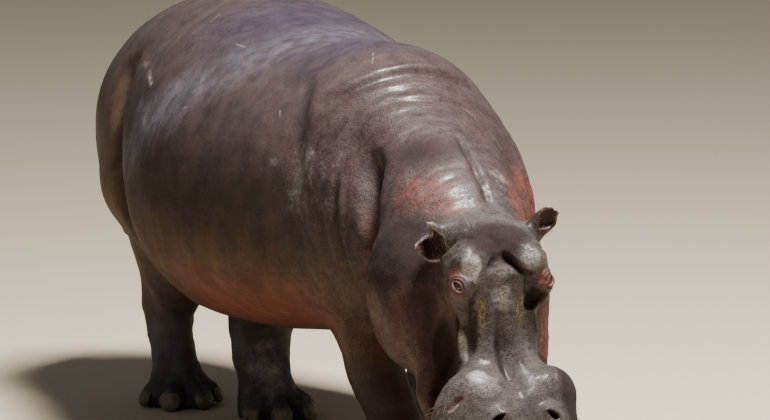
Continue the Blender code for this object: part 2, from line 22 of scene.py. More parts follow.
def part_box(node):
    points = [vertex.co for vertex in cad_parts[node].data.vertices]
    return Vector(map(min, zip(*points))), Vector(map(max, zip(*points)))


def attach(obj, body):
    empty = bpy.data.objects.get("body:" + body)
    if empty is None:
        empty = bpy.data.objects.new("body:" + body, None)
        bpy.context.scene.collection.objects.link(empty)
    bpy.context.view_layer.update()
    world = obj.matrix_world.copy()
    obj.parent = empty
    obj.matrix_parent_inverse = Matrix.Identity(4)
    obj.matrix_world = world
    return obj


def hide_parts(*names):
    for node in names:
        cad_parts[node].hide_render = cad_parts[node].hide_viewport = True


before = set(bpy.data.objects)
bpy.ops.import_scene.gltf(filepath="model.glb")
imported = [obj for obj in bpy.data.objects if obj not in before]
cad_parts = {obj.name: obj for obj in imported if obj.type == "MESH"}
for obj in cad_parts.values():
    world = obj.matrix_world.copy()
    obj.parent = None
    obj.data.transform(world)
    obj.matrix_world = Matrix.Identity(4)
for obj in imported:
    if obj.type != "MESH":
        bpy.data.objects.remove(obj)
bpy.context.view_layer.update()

log = logging.getLogger("hippopotamus")

Point = tuple[float, float, float]

FLESH_NODES = ("trunk", "neck", "head", "lower_jaw", "leg_hind_right", "leg_hind_left",
               "leg_front_right", "leg_front_left", "tail")
FEET = ("hind_right", "hind_left", "front_right", "front_left")
TOES = (1, 2, 3, 4)


class Side(Enum):
    """Sides of the animal; the value is the sign of its left axis."""

    RIGHT = -1
    LEFT = 1

    @property
    def word(self) -> str:
        """Name of the side as the nodes spell it."""
        return self.name.lower()


# ---------------------------------------------------------------- places
def middle_of(node: str) -> Vector:
    """Middle of a node's box."""
    low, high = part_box(node)
    return (low + high) / 2


MIDLINE = middle_of("tail").x


def at(forward: float, left: float, height: float) -> Vector:
    """Place in the frame given in the animal's own terms, in metres from its tail's midline."""
    return Vector((MIDLINE + left, -forward, height))


def way(forward: float, left: float, height: float) -> Vector:
    """Unit direction given in the animal's own terms."""
    return Vector((left, -forward, height)).normalized()


@dataclass(frozen=True)
class HeadAxes:
    """The head's own axes: along the snout from the crown, to its left, and above the face.

    They are found from the two eyes of the frame.
    """

    pitch: float = 66.0  # degrees of the snout below the horizon
    eye_along: float = 0.180
    eye_above: float = 0.006

    def matrix(self) -> Matrix:
        """Finds the head's place and turn.

        Returns:
            Matrix from places in the head's terms to the frame.
        """
        right_eye, left_eye = middle_of("eye_right"), middle_of("eye_left")
        left = (left_eye - right_eye).normalized()
        up = Vector((0, 0, 1))
        ahead = left.cross(up)
        pitch = math.radians(self.pitch)
        along = ahead * math.cos(pitch) - up * math.sin(pitch)
        above = ahead * math.sin(pitch) + up * math.cos(pitch)
        crown = (left_eye + right_eye) / 2 - along * self.eye_along - above * self.eye_above
        return Matrix.Translation(crown) @ Matrix((along, left, above)).transposed().to_4x4()


HEAD = HeadAxes().matrix()
HEAD_TURN = HEAD.to_3x3()


def in_head(along: float, left: float, above: float) -> Vector:
    """Place in the frame given in the head's terms."""
    return HEAD @ Vector((along, left, above))


def smoothstep(low: float, high: float, value: np.ndarray | float) -> np.ndarray | float:
    """Soft step from 0 at low to 1 at high.

    Args:
        low: Value at which the step starts.
        high: Value at which it ends; it may be below low.
        value: Values to step.

    Returns:
        Numbers from 0 to 1.
    """
    t = np.clip((value - low) / (high - low), 0, 1)
    return t * t * (3 - 2 * t)


def smooth_line(points: Sequence[Vector], steps: int = 8) -> list[Vector]:
    """More points on a smooth curve through the given ones.

    Args:
        points: Points that the curve passes.
        steps: Pieces that each stretch is cut into.

    Returns:
        Points of the curve, the given ones among them.
    """
    ends = [points[0] * 2 - points[1], *points, points[-1] * 2 - points[-2]]
    made = []
    for before, here, there, after in zip(ends, ends[1:], ends[2:], ends[3:]):
        for step in range(steps):
            t = step / steps
            bend = before * 2 - here * 5 + there * 4 - after
            twist = here * 3 - before - there * 3 + after
            made.append(here + ((there - before) * t + bend * t * t + twist * t ** 3) * 0.5)
    return made + [points[-1]]


# ---------------------------------------------------------------- shader maths
class Socket:
    """A shader socket that takes part in Python expressions."""

    def __init__(self, tree: "Tree", socket: bpy.types.NodeSocket) -> None:
        """Wraps an output socket of the tree."""
        self.tree = tree
        self.socket = socket

    def _maths(self, operation: str, *values: "Socket | float") -> "Socket":
        """Adds a Math node for the operation on the values."""
        return self.tree.node("ShaderNodeMath", {"operation": operation}, dict(enumerate(values)))

    def __add__(self, other: "Socket | float") -> "Socket":
        """Sum of both."""
        return self._maths("ADD", self, other)

    __radd__ = __add__

    def __sub__(self, other: "Socket | float") -> "Socket":
        """This less the other."""
        return self._maths("SUBTRACT", self, other)

    def __rsub__(self, other: float) -> "Socket":
        """The other less this."""
        return self._maths("SUBTRACT", other, self)

    def __mul__(self, other: "Socket | float") -> "Socket":
        """Product of both."""
        return self._maths("MULTIPLY", self, other)

    __rmul__ = __mul__

    def __truediv__(self, other: "Socket | float") -> "Socket":
        """This over the other."""
        return self._maths("DIVIDE", self, other)

    def most(self, other: "Socket | float") -> "Socket":
        """The larger of both."""
        return self._maths("MAXIMUM", self, other)

    def ramp(self, low: float, high: float) -> "Socket":
        """Soft step from 0 at low to 1 at high."""
        settings = {"interpolation_type": "SMOOTHSTEP"}
        inputs = {"Value": self, "From Min": low, "From Max": high}
        return self.tree.node("ShaderNodeMapRange", settings, inputs)


class Tree:
    """Node tree of one material."""

    def __init__(self, name: str) -> None:
        """Starts a material with only its output and its Principled shader."""
        self.material = bpy.data.materials.new(name)
        self.material.use_nodes = True
        self.nodes = self.material.node_tree.nodes
        self.links = self.material.node_tree.links
        self.shader = self.nodes["Principled BSDF"]

    def node(self, kind: str, settings: dict | None = None, inputs: dict | None = None,
             output: str | int = 0) -> Socket:
        """Adds a node.

        Args:
            kind: Type of the node.
            settings: Its own settings, such as an operation; they are set first.
            inputs: Values or sockets by the name or number of the input.
            output: Name or number of the output that is wanted.

        Returns:
            The wanted output.
        """
        made = self.nodes.new(kind)
        for key, value in (settings or {}).items():
            setattr(made, key, value)
        for key, value in (inputs or {}).items():
            if isinstance(value, Socket):
                self.links.new(value.socket, made.inputs[key])
            else:
                made.inputs[key].default_value = value
        return Socket(self, made.outputs[output])

    def place(self) -> Socket:
        """Object coordinates."""
        return self.node("ShaderNodeTexCoord", output="Object")

    def heights(self, place: Socket) -> tuple[Socket, Socket]:
        """Distance backwards and height of a place."""
        inputs = {"Vector": place}
        return tuple(self.node("ShaderNodeSeparateXYZ", None, inputs, axis) for axis in "YZ")

    def attribute(self, name: str) -> Socket:
        """A number that the mesh holds at each point."""
        return self.node("ShaderNodeAttribute", {"attribute_name": name}, output="Fac")

    def stretched(self, place: Socket, scale: Point) -> Socket:
        """The place scaled about the origin; a pattern grows long where the scale is small."""
        return self.node("ShaderNodeMapping", None, {"Vector": place, "Scale": scale})

    def noise(self, place: Socket, scale: float, detail: float = 4, rough: float = 0.55) -> Socket:
        """Cloudy noise from 0 to 1."""
        inputs = {"Vector": place, "Scale": scale, "Detail": detail, "Roughness": rough}
        return self.node("ShaderNodeTexNoise", None, inputs)

    def cells(self, place: Socket, scale: float, feature: str = "F1") -> Socket:
        """Cell pattern: distance to the nearest seed or to the nearest edge."""
        inputs = {"Vector": place, "Scale": scale}
        return self.node("ShaderNodeTexVoronoi", {"feature": feature}, inputs, "Distance")

    def vector(self, operation: str, *values: "Socket | Vector", output: str | int = 0) -> Socket:
        """Adds a Vector Math node for the operation on the values."""
        return self.node("ShaderNodeVectorMath", {"operation": operation}, dict(enumerate(values)), output)

    def stroke(self, place: Socket, start: Vector, end: Vector, width: float, ragged: Socket) -> Socket:
        """Mask of a thin straight mark between two places.

        Args:
            place: Object coordinates.
            start: One end of the mark.
            end: Its other end.
            width: Distance from the middle line at which the mark has gone.
            ragged: Noise that frays the mark's edge.

        Returns:
            Numbers from 0 to 1.
        """
        run = end - start
        off = self.vector("SUBTRACT", place, start)
        share = self.vector("DOT_PRODUCT", off, run, output="Value") / run.length_squared
        share = self.node("ShaderNodeClamp", None, {"Value": share})
        foot = self.node("ShaderNodeVectorMath", {"operation": "SCALE"}, {0: run, "Scale": share})
        apart = self.vector("LENGTH", self.vector("SUBTRACT", off, foot), output="Value")
        fray, edge, core = 2.4 * width, 2.2 * width, 1.1 * width
        return (apart + ragged * fray).ramp(edge, core)

    def mixed(self, share: Socket | float, first: Socket | Sequence[float],
              second: Socket | Sequence[float], blend: str = "MIX") -> Socket:
        """Mixes two colours.

        Args:
            share: How much of the second is taken.
            first: The colour at share 0.
            second: The colour at share 1.
            blend: Way of mixing.

        Returns:
            The mixed colour.
        """
        colours = [c if isinstance(c, Socket) else (*c, 1) for c in (first, second)]
        settings = {"data_type": "RGBA", "blend_type": blend}
        return self.node("ShaderNodeMix", settings, {0: share, 6: colours[0], 7: colours[1]}, 2)

    def bumped(self, height: Socket, distance: float, strength: float = 1.0,
               under: Socket | None = None) -> Socket:
        """Normal of a surface raised by the height.

        Args:
            height: How high the relief stands, from 0 to 1.
            distance: Height of the relief at 1, in metres.
            strength: Share of the relief that shows.
            under: Normal of a coarser relief below it.

        Returns:
            The bent normal.
        """
        inputs = {"Height": height, "Distance": distance, "Strength": strength}
        if under:
            inputs["Normal"] = under
        return self.node("ShaderNodeBump", None, inputs)

    def feed(self, **sockets: Socket | float | Sequence[float]) -> bpy.types.Material:
        """Fills the Principled shader's sockets.

        Args:
            sockets: Values or sockets by the input's name, where an underscore stands for a space.

        Returns:
            The finished material.
        """
        for key, value in sockets.items():
            target = self.shader.inputs[key.replace("_", " ")]
            if isinstance(value, Socket):
                self.links.new(value.socket, target)
            else:
                target.default_value = value
        return self.material


# ---------------------------------------------------------------- mesh helpers
def select_only(obj: bpy.types.Object) -> None:
    """Makes an object the only selected and the active one."""
    bpy.ops.object.select_all(action="DESELECT")
    obj.select_set(True)
    bpy.context.view_layer.objects.active = obj


def object_of(name: str, data: bpy.types.ID) -> bpy.types.Object:
    """New object in the scene that holds a mesh, a lamp or a camera."""
    obj = bpy.data.objects.new(name, data)
    bpy.context.scene.collection.objects.link(obj)
    return obj


def apply_modifier(obj: bpy.types.Object, kind: str, **settings: object) -> None:
    """Adds a modifier with its settings and applies it."""
    modifier = obj.modifiers.new(kind.lower(), kind)
    for key, value in settings.items():
        setattr(modifier, key, value)
    select_only(obj)
    bpy.ops.object.modifier_apply(modifier=modifier.name)


def settle_origin(obj: bpy.types.Object) -> None:
    """Puts an object's place into its mesh, so that the object sits at the origin."""
    select_only(obj)
    bpy.ops.object.transform_apply(location=True, rotation=True, scale=True)


def facing_out(obj: bpy.types.Object) -> None:
    """Turns all faces of a closed mesh outwards.

    Args:
        obj: Object that holds the mesh.
    """
    bm = bmesh.new()
    bm.from_mesh(obj.data)
    bmesh.ops.recalc_face_normals(bm, faces=bm.faces)
    if bm.calc_volume(signed=True) < 0:
        bmesh.ops.reverse_faces(bm, faces=bm.faces)
    bm.to_mesh(obj.data)
    bm.free()


class Surface:
    """Points and edges of a mesh as arrays, for easing and drawing."""

    def __init__(self, obj: bpy.types.Object) -> None:
        """Reads the object's mesh.

        Args:
            obj: Object that holds the mesh.
        """
        self.obj = obj
        mesh = obj.data
        self.points = np.empty(len(mesh.vertices) * 3)
        mesh.vertices.foreach_get("co", self.points)
        self.points = self.points.reshape(-1, 3)
        edges = np.empty(len(mesh.edges) * 2, np.int64)
        mesh.edges.foreach_get("vertices", edges)
        self.starts, self.ends = edges.reshape(-1, 2).T
        self.count = len(self.points)
        self.ties = np.bincount(np.concatenate([self.starts, self.ends]), minlength=self.count)[:, None]

    def neighbour_sum(self, values: np.ndarray) -> np.ndarray:
        """Sum of the values over each point's neighbours."""
        total = np.empty_like(values)
        for axis in range(values.shape[1]):
            total[:, axis] = np.bincount(self.starts, values[self.ends, axis], self.count)
            total[:, axis] += np.bincount(self.ends, values[self.starts, axis], self.count)
        return total

    def bend(self, values: np.ndarray) -> np.ndarray:
        """How far each point stands off its neighbours, in a symmetric measure."""
        return (self.ties * values - self.neighbour_sum(values)) / 4

    def ease(self, span: np.ndarray, cell: float, rounds: int = 90) -> None:
        """Removes unevenness that is finer than a span and keeps what is wider.

        The wanted surface bends as little as possible while it stays near the given one, which is
        a linear system that conjugate gradients solve.

        Args:
            span: Length at each point, in metres, of the unevenness that is halved.
            cell: Length of the mesh's edges.
            rounds: Steps of the solver.
        """
        hold = ((math.pi * cell / span) ** 4)[:, None]
        found = self.points.copy()
        rest = -self.bend(self.bend(found))
        way = rest.copy()
        left = (rest * rest).sum()
        for _ in range(rounds):
            pushed = hold * way + self.bend(self.bend(way))
            length = left / (way * pushed).sum()
            found += length * way
            rest -= length * pushed
            now = (rest * rest).sum()
            way = rest + now / left * way
            left = now
        self.points = found
        self.write()

    def relax(self, share: np.ndarray, rounds: int) -> None:
        """Moves points towards their neighbours' middle.

        Args:
            share: Part of half the way that each point moves.
            rounds: How many times over.
        """
        share = share[:, None]
        for _ in range(rounds):
            self.points += 0.5 * share * (self.neighbour_sum(self.points) / self.ties - self.points)
        self.write()

    def normals(self) -> np.ndarray:
        """Normal at each point."""
        found = np.empty(self.count * 3)
        self.obj.data.vertex_normals.foreach_get("vector", found)
        return found.reshape(-1, 3)

    def write(self) -> None:
        """Puts the points back into the mesh."""
        self.obj.data.vertices.foreach_set("co", self.points.ravel())
        self.obj.data.update()

    def in_head(self) -> np.ndarray:
        """The points in the head's terms."""
        back = np.array(HEAD.inverted())
        return self.points @ back[:3, :3].T + back[:3, 3]

    def in_body(self) -> np.ndarray:
        """The points in the animal's own terms."""
        return np.stack([-self.points[:, 1], self.points[:, 0] - MIDLINE, self.points[:, 2]], axis=1)

    def near(self, centre: Vector, reach: float) -> np.ndarray:
        """Soft mask that is 1 at the centre and falls to 0 at the reach."""
        distance = np.linalg.norm(self.points - np.array(centre), axis=1)
        return smoothstep(reach, 0, distance)


# ---------------------------------------------------------------- folds, swellings and patches of colour
@dataclass(frozen=True)
class Fold:
    """A fold drawn along a line: a groove, and a roll of skin on one side of it.

    Sizes are in metres.  A negative depth raises a ridge.
    """

    line: tuple[Point, ...]
    width: float
    depth: float
    roll: float = 0.0  # height of the roll on the line's left side; negative puts it on the right
    tint: float = 0.0  # how much the groove is darkened with painted shade
    both: bool = True  # drawn on both sides of the animal
    fade: float = 0.18  # share of the line over which each end runs out
    mirrored: float = 1.0  # share of the depth that the mirrored fold has

    def lines(self, to_world: Callable[..., Vector]) -> Iterable[tuple[list[Vector], float, float]]:
        """Lays the fold on each side of the animal that has it.

        Args:
            to_world: Gives the world's place for one of the line's points.

        Yields:
            World points of the line, the roll's height, and the share of the depth on that side.
        """
        for sign in (1, -1) if self.both else (1,):
            share = 1.0 if sign > 0 else self.mirrored
            yield [to_world(a, sign * b, c) for a, b, c in self.line], sign * share * self.roll, share


def distances(points: np.ndarray, centre: Point, radii: Point, both: bool) -> Iterable[np.ndarray]:
    """Distances from a centre, in radii, and from its mirror image.

    Args:
        points: Places to measure from.
        centre: Forward or along, left, and height or above.
        radii: Lengths along the same axes that count as 1.
        both: Whether the mirror image counts too.

    Yields:
        Distance of each point.
    """
    for sign in (1, -1) if both else (1,):
        middle = np.array((centre[0], sign * centre[1], centre[2]))
        yield np.linalg.norm((points - middle) / np.array(radii), axis=1)


@dataclass(frozen=True)
class Swell:
    """A soft bulge, or a hollow where the height is negative."""

    centre: Point
    radii: Point
    height: float
    both: bool = True

    def shift(self, points: np.ndarray) -> np.ndarray:
        """Height of the bulge at points in its own terms."""
        spans = distances(points, self.centre, self.radii, self.both)
        return sum(self.height * np.exp(-1.8 * off ** 2) for off in spans)


@dataclass(frozen=True)
class Patch:
    """A soft-edged region of a colour mask."""

    mask: str
    centre: Point
    radii: Point
    strength: float = 1.0
    both: bool = False

    def value(self, points: np.ndarray) -> np.ndarray:
        """Strength of the mask at points in the patch's own terms."""
        nearest = np.minimum.reduce(list(distances(points, self.centre, self.radii, self.both)))
        return self.strength * smoothstep(1.5, 0.1, nearest)


@dataclass(frozen=True)
class Wrinkles:
    """Fine relief of one kind over a region.

    The scale is in waves per metre along the animal, across it and upwards, or along the head, across it
    and above it.
    """

    where: Callable[[Surface], np.ndarray]
    scale: Point
    height: float
    creased: bool = True  # narrow grooves, or else soft lumps
    on_head: bool = False

    def shift(self, surface: Surface) -> np.ndarray:
        """Measures the relief.

        Args:
            surface: Points to raise.

        Returns:
            Height of the relief at each point.
        """
        weight = self.where(surface)
        shift = np.zeros(surface.count)
        points = (surface.in_head() if self.on_head else surface.in_body()) * np.array(self.scale)
        for i in np.nonzero(weight > 0.02)[0]:
            value = noise.fractal(Vector(points[i]), 1.0, 2.0, 3)
            shift[i] = -((1 - min(abs(value) * 2.6, 1.0)) ** 1.5) if self.creased else value
        return shift * weight * self.height


def box_mask(points: np.ndarray, low: Point, high: Point, soft: float) -> np.ndarray:
    """Mask that is 1 inside a box and falls to 0 over a soft margin around it."""
    outside = np.maximum(np.array(low) - points, points - np.array(high)).max(axis=1)
    return smoothstep(soft, 0, outside)


def on_neck(s: Surface) -> np.ndarray:
    """The neck and the front of the shoulders."""
    return box_mask(s.in_body(), (0.30, -0.6, 0.5), (1.10, 0.6, 1.6), 0.15)


def on_face(s: Surface) -> np.ndarray:
    """The whole head."""
    return box_mask(s.in_head(), (-0.05, -0.5, -0.45), (0.9, 0.5, 0.3), 0.08)


def on_brow(s: Surface) -> np.ndarray:
    """The crown, the brows and the skin round the eyes."""
    return box_mask(s.in_head(), (-0.03, -0.22, -0.12), (0.24, 0.22, 0.2), 0.05)


def on_ankles(s: Surface) -> np.ndarray:
    """The lower legs."""
    points = s.in_body()
    return smoothstep(0.05, 0.12, points[:, 2]) * smoothstep(0.48, 0.30, points[:, 2]) * (1 - on_face(s))


def on_barrel(s: Surface) -> np.ndarray:
    """The barrel and the rump."""
    return box_mask(s.in_body(), (-1.6, -0.8, 0.45), (0.35, 0.8, 1.7), 0.2)


WRINKLES = (
    Wrinkles(on_barrel, (2.2, 2.2, 1.2), 0.010, creased=False),
    Wrinkles(on_neck, (9.0, 2.5, 2.5), 0.0036),
    Wrinkles(on_neck, (20.0, 7.0, 7.0), 0.0020),
    Wrinkles(on_ankles, (3.0, 3.0, 14.0), 0.0045),
    Wrinkles(on_face, (6.0, 6.0, 6.0), 0.004, creased=False, on_head=True),
    Wrinkles(on_face, (16.0, 16.0, 16.0), 0.0014, on_head=True),
    Wrinkles(on_brow, (34.0, 26.0, 26.0), 0.0008, on_head=True),
    Wrinkles(on_brow, (14.0, 14.0, 14.0), 0.003, creased=False, on_head=True),
)

# Tables of the body are in the animal's own terms, and those of the face and the head in the head's.
# the fifth argument of each fold here and in the face's table, its tint, is how much painted shade darkens
# its groove
BODY_FOLDS = (
    # flank fold between the barrel and the thigh
    Fold(((-1.00, -0.37, 1.27), (-0.94, -0.43, 1.15), (-0.88, -0.46, 1.02), (-0.83, -0.48, 0.90),
          (-0.78, -0.47, 0.78), (-0.72, -0.44, 0.66), (-0.64, -0.36, 0.55)), 0.055, 0.048, 0.014, 0.3,
         mirrored=0.4),
    # hollow behind the shoulder
    Fold(((0.28, -0.29, 1.34), (0.36, -0.36, 1.22), (0.43, -0.42, 1.08), (0.44, -0.45, 0.95)),
         0.036, 0.012, 0.004, 0.25),
    # valley between the neck and the shoulder
    Fold(((0.72, -0.30, 1.18), (0.79, -0.34, 1.05), (0.85, -0.36, 0.92), (0.85, -0.36, 0.80),
          (0.78, -0.34, 0.68)), 0.042, 0.060, -0.010, 0.8, mirrored=0.35),
    # hanging strip of skin before the shoulder
    Fold(((0.60, -0.33, 1.05), (0.66, -0.37, 0.93), (0.70, -0.38, 0.80), (0.68, -0.36, 0.70)),
         0.018, 0.014, 0.010, 0.6),
    Fold(((0.56, -0.36, 0.98), (0.60, -0.38, 0.86), (0.62, -0.38, 0.74)), 0.015, 0.008, 0.006, 0.4),
    # arcs over the withers
    Fold(((0.40, -0.34, 1.22), (0.48, -0.27, 1.31), (0.52, -0.16, 1.37), (0.53, 0.0, 1.40),
          (0.51, 0.14, 1.37), (0.46, 0.27, 1.29)), 0.020, 0.016, 0.010, 0.30, both=False),
    Fold(((0.47, -0.32, 1.20), (0.55, -0.24, 1.28), (0.59, -0.12, 1.33), (0.60, 0.02, 1.35),
          (0.57, 0.15, 1.31)), 0.014, 0.004, 0.003, 0.12, both=False),
    Fold(((0.58, -0.22, 1.24), (0.64, -0.12, 1.29), (0.66, 0.0, 1.30), (0.63, 0.12, 1.27)),
         0.012, 0.006, 0.004, 0.2, both=False),
    # crease along the top of the neck
    Fold(((0.84, -0.05, 1.27), (0.94, -0.065, 1.21), (1.03, -0.08, 1.15), (1.10, -0.09, 1.08),
          (1.15, -0.10, 1.03)), 0.014, 0.016, 0.0, 0.8, both=False),
    # folds at the elbow, the knee and the hock
    Fold(((0.42, -0.36, 0.62), (0.52, -0.38, 0.57), (0.60, -0.36, 0.56)), 0.02, 0.010, 0.006, 0.3),
    Fold(((-1.10, -0.36, 0.62), (-1.02, -0.40, 0.60), (-0.93, -0.40, 0.62)), 0.02, 0.008, 0.005, 0.2),
)

FACE_FOLDS = (
    # mouth, from its corner under the eye to the chin
    Fold(((0.235, -0.145, -0.085), (0.265, -0.133, -0.10), (0.32, -0.129, -0.137), (0.36, -0.130, -0.171),
          (0.405, -0.147, -0.209), (0.441, -0.164, -0.235), (0.50, -0.205, -0.245), (0.60, -0.22, -0.240),
          (0.68, -0.17, -0.235), (0.71, 0.0, -0.235)), 0.013, 0.034, 0.010, 1.0),
    # ridge of the lip before the corner of the mouth, made paler by a painted highlight, and the groove
    # between it and the nose
    Fold(((0.285, -0.117, -0.085), (0.345, -0.118, -0.105), (0.396, -0.131, -0.121)), 0.011, -0.010),
    Fold(((0.20, -0.103, 0.02), (0.217, -0.103, 0.005), (0.25, -0.097, -0.037), (0.291, -0.095, -0.067),
          (0.352, -0.100, -0.083), (0.40, -0.118, -0.099)), 0.015, 0.020, 0.0, 0.8, both=False),
    # creases between the brows and the bridge of the nose, the left one deeper
    Fold(((0.078, 0.005, 0.012), (0.110, 0.027, 0.021), (0.133, 0.046, 0.029), (0.152, 0.067, 0.033),
          (0.166, 0.088, 0.031), (0.197, 0.097, 0.023), (0.230, 0.101, 0.0), (0.255, 0.104, -0.046)),
         0.012, 0.020, 0.002, 1.0, both=False, fade=0.10),
    Fold(((0.160, 0.084, 0.033), (0.185, 0.092, 0.020), (0.205, 0.095, -0.008), (0.230, 0.104, -0.033),
          (0.256, 0.109, -0.046)), 0.018, 0.032, 0.0, 1.0, both=False, fade=0.2),
    Fold(((0.078, 0.005, 0.012), (0.10, -0.014, 0.018), (0.125, -0.036, 0.025), (0.155, -0.056, 0.025)),
         0.013, 0.011, 0.002, 0.6, both=False, fade=0.40),
    Fold(((0.012, -0.02, 0.0), (0.045, 0.0, 0.0), (0.080, 0.003, 0.01)), 0.014, 0.004, 0.0, 0.4,
         both=False),
    # groove between the nasal bulges
    Fold(((0.24, -0.008, -0.03), (0.34, -0.010, -0.05), (0.42, -0.010, -0.05), (0.49, -0.006, -0.02),
          (0.55, 0.0, 0.0)), 0.024, 0.020, 0.0, 0.6, both=False, fade=0.35),
    # slit in the lip over the tusk
    Fold(((0.560, -0.226, -0.050), (0.545, -0.207, -0.030), (0.532, -0.189, -0.016)),
         0.008, 0.012, 0.004, 0.4, both=False),
    # rings of skin behind the eye and before the ear
    Fold(((0.13, -0.21, -0.02), (0.17, -0.215, -0.03), (0.22, -0.20, -0.05), (0.26, -0.18, -0.08)),
         0.010, 0.006, 0.003, 0.3),
    Fold(((0.10, -0.235, -0.05), (0.16, -0.245, -0.07), (0.23, -0.225, -0.10), (0.28, -0.20, -0.13)),
         0.010, 0.005, 0.003, 0.2),
    Fold(((0.085, -0.12, 0.03), (0.075, -0.16, 0.01), (0.095, -0.20, -0.02)), 0.009, 0.005, 0.002, 0.3),
    # creases on the jowl
    Fold(((0.20, -0.29, -0.20), (0.30, -0.28, -0.24), (0.40, -0.27, -0.28)), 0.016, 0.006, 0.003, 0.2),
)

HEAD_SWELLS = (
    Swell((0.112, 0.118, 0.04), (0.055, 0.055, 0.06), 0.014),  # brow
    Swell((0.47, 0.11, 0.03), (0.08, 0.08, 0.08), 0.008),  # bulge behind the nostril
    Swell((0.58, -0.235, -0.12), (0.09, 0.07, 0.10), 0.042, both=False),  # right lip
    Swell((0.60, 0.22, -0.06), (0.10, 0.07, 0.10), -0.005, both=False),  # left lip
    Swell((0.32, 0.115, -0.07), (0.09, 0.035, 0.06), 0.026, both=False),  # left of the nose
    Swell((0.20, 0.135, -0.02), (0.05, 0.030, 0.05), 0.012, both=False),
    Swell((0.28, 0.046, -0.03), (0.13, 0.026, 0.06), 0.010),  # ridges of the nose
    Swell((0.180, 0.105, 0.02), (0.022, 0.022, 0.03), 0.008),  # inner corner of the eye
    Swell((0.26, 0.27, -0.22), (0.18, 0.10, 0.16), 0.012),  # jowl
    Swell((0.40, -0.245, -0.350), (0.06, 0.06, 0.06), -0.034, both=False),  # under the jowl
    Swell((0.47, 0.215, -0.285), (0.09, 0.06, 0.06), 0.026),  # side of the chin
    Swell((0.33, 0.21, -0.22), (0.13, 0.06, 0.10), 0.014, both=False),  # left cheek
)
BODY_SWELLS = (
    Swell((-1.05, 0.30, 1.36), (0.25, 0.16, 0.16), 0.008),  # hip
    Swell((-0.83, -0.04, 0.38), (0.17, 0.12, 0.19), 0.060, both=False),  # inside of the left thigh
    Swell((-0.78, -0.05, 0.20), (0.13, 0.10, 0.16), 0.034, both=False),
    Swell((-0.91, -0.19, 0.38), (0.10, 0.10, 0.12), -0.014, both=False),  # inside of the right thigh
    Swell((-1.06, -0.30, 0.38), (0.12, 0.12, 0.20), -0.020, both=False),  # behind the right hock
    Swell((-1.00, -0.42, 0.78), (0.20, 0.14, 0.20), 0.046, both=False),  # right ham
    Swell((0.47, -0.37, 0.48), (0.12, 0.12, 0.11), -0.034, both=False),  # behind the right elbow
    Swell((0.62, -0.16, 0.36), (0.10, 0.08, 0.14), -0.014, both=False),  # inside of the right knee
    Swell((0.13, -0.18, 0.44), (0.22, 0.20, 0.14), -0.013, both=False),  # breast between the legs
)

HEAD_PATCHES = (
    Patch("rosy", (0.18, 0.165, 0.01), (0.045, 0.04, 0.05), 0.8, both=True),
    Patch("rosy", (0.02, 0.17, -0.05), (0.08, 0.06, 0.08), 0.5, both=True),
    Patch("rosy", (0.18, 0.138, 0.03), (0.050, 0.040, 0.05), 1.0),
    Patch("rosy", (0.135, -0.155, 0.01), (0.035, 0.030, 0.04), 0.9),
    Patch("rosy", (0.34, 0.22, -0.22), (0.20, 0.05, 0.10), 0.7),
    Patch("rosy", (0.17, -0.31, -0.32), (0.16, 0.05, 0.10), 0.6),
    # painted highlights on the brows, between them, on the bridge of the nose, on the muzzle and on the ridge
    # of the lip
    Patch("pale", (0.128, -0.112, 0.045), (0.045, 0.042, 0.05), 1.4),
    Patch("pale", (0.115, 0.095, 0.045), (0.045, 0.050, 0.05), 1.0),
    Patch("pale", (0.14, 0.0, 0.02), (0.06, 0.06, 0.05), 0.65),
    Patch("pale", (0.49, -0.11, 0.0), (0.07, 0.09, 0.06), 0.75),
    Patch("pale", (0.46, -0.12, 0.0), (0.05, 0.05, 0.05), 1.2),
    Patch("pale", (0.50, 0.12, 0.0), (0.07, 0.06, 0.06), 0.6),
    Patch("pale", (0.22, 0.0, -0.01), (0.10, 0.07, 0.05), 0.7),
    Patch("pale", (0.355, -0.124, -0.100), (0.07, 0.018, 0.03), 1.4),
    # painted shade: on the crown, in the hollow below the left brow and eye, along the groove of the nose and
    # beside it, on the cheeks, at the far end of the muzzle and under the right ear
    Patch("painted_shade", (0.040, 0.0, 0.0), (0.11, 0.16, 0.08), 1.0),
    Patch("painted_shade", (0.215, 0.115, -0.03), (0.050, 0.030, 0.045), 1.2),
    Patch("painted_shade", (0.37, -0.020, -0.07), (0.17, 0.020, 0.06), 0.7),
    Patch("painted_shade", (0.41, 0.045, -0.05), (0.07, 0.04, 0.05), 0.5),
    Patch("painted_shade", (0.19, -0.215, -0.185), (0.12, 0.07, 0.10), 0.7),
    Patch("painted_shade", (0.55, 0.20, -0.04), (0.14, 0.08, 0.10), 1.2),
    Patch("painted_shade", (0.0, -0.25, -0.20), (0.15, 0.16, 0.18), 1.1),
    Patch("painted_shade", (0.225, 0.140, -0.02), (0.040, 0.025, 0.04), 0.9),
    Patch("painted_shade", (0.35, -0.155, -0.17), (0.13, 0.035, 0.10), 1.0, both=True),
    Patch("dirt", (0.26, 0.07, -0.03), (0.12, 0.035, 0.05), 0.8, both=True),
    Patch("dirt", (0.15, 0.0, 0.02), (0.07, 0.06, 0.04), 0.6),
    Patch("dirt", (0.34, 0.19, -0.19), (0.12, 0.04, 0.06), 0.6),
    Patch("dirt", (0.62, 0.14, -0.05), (0.08, 0.09, 0.05), 0.6, both=True),
)
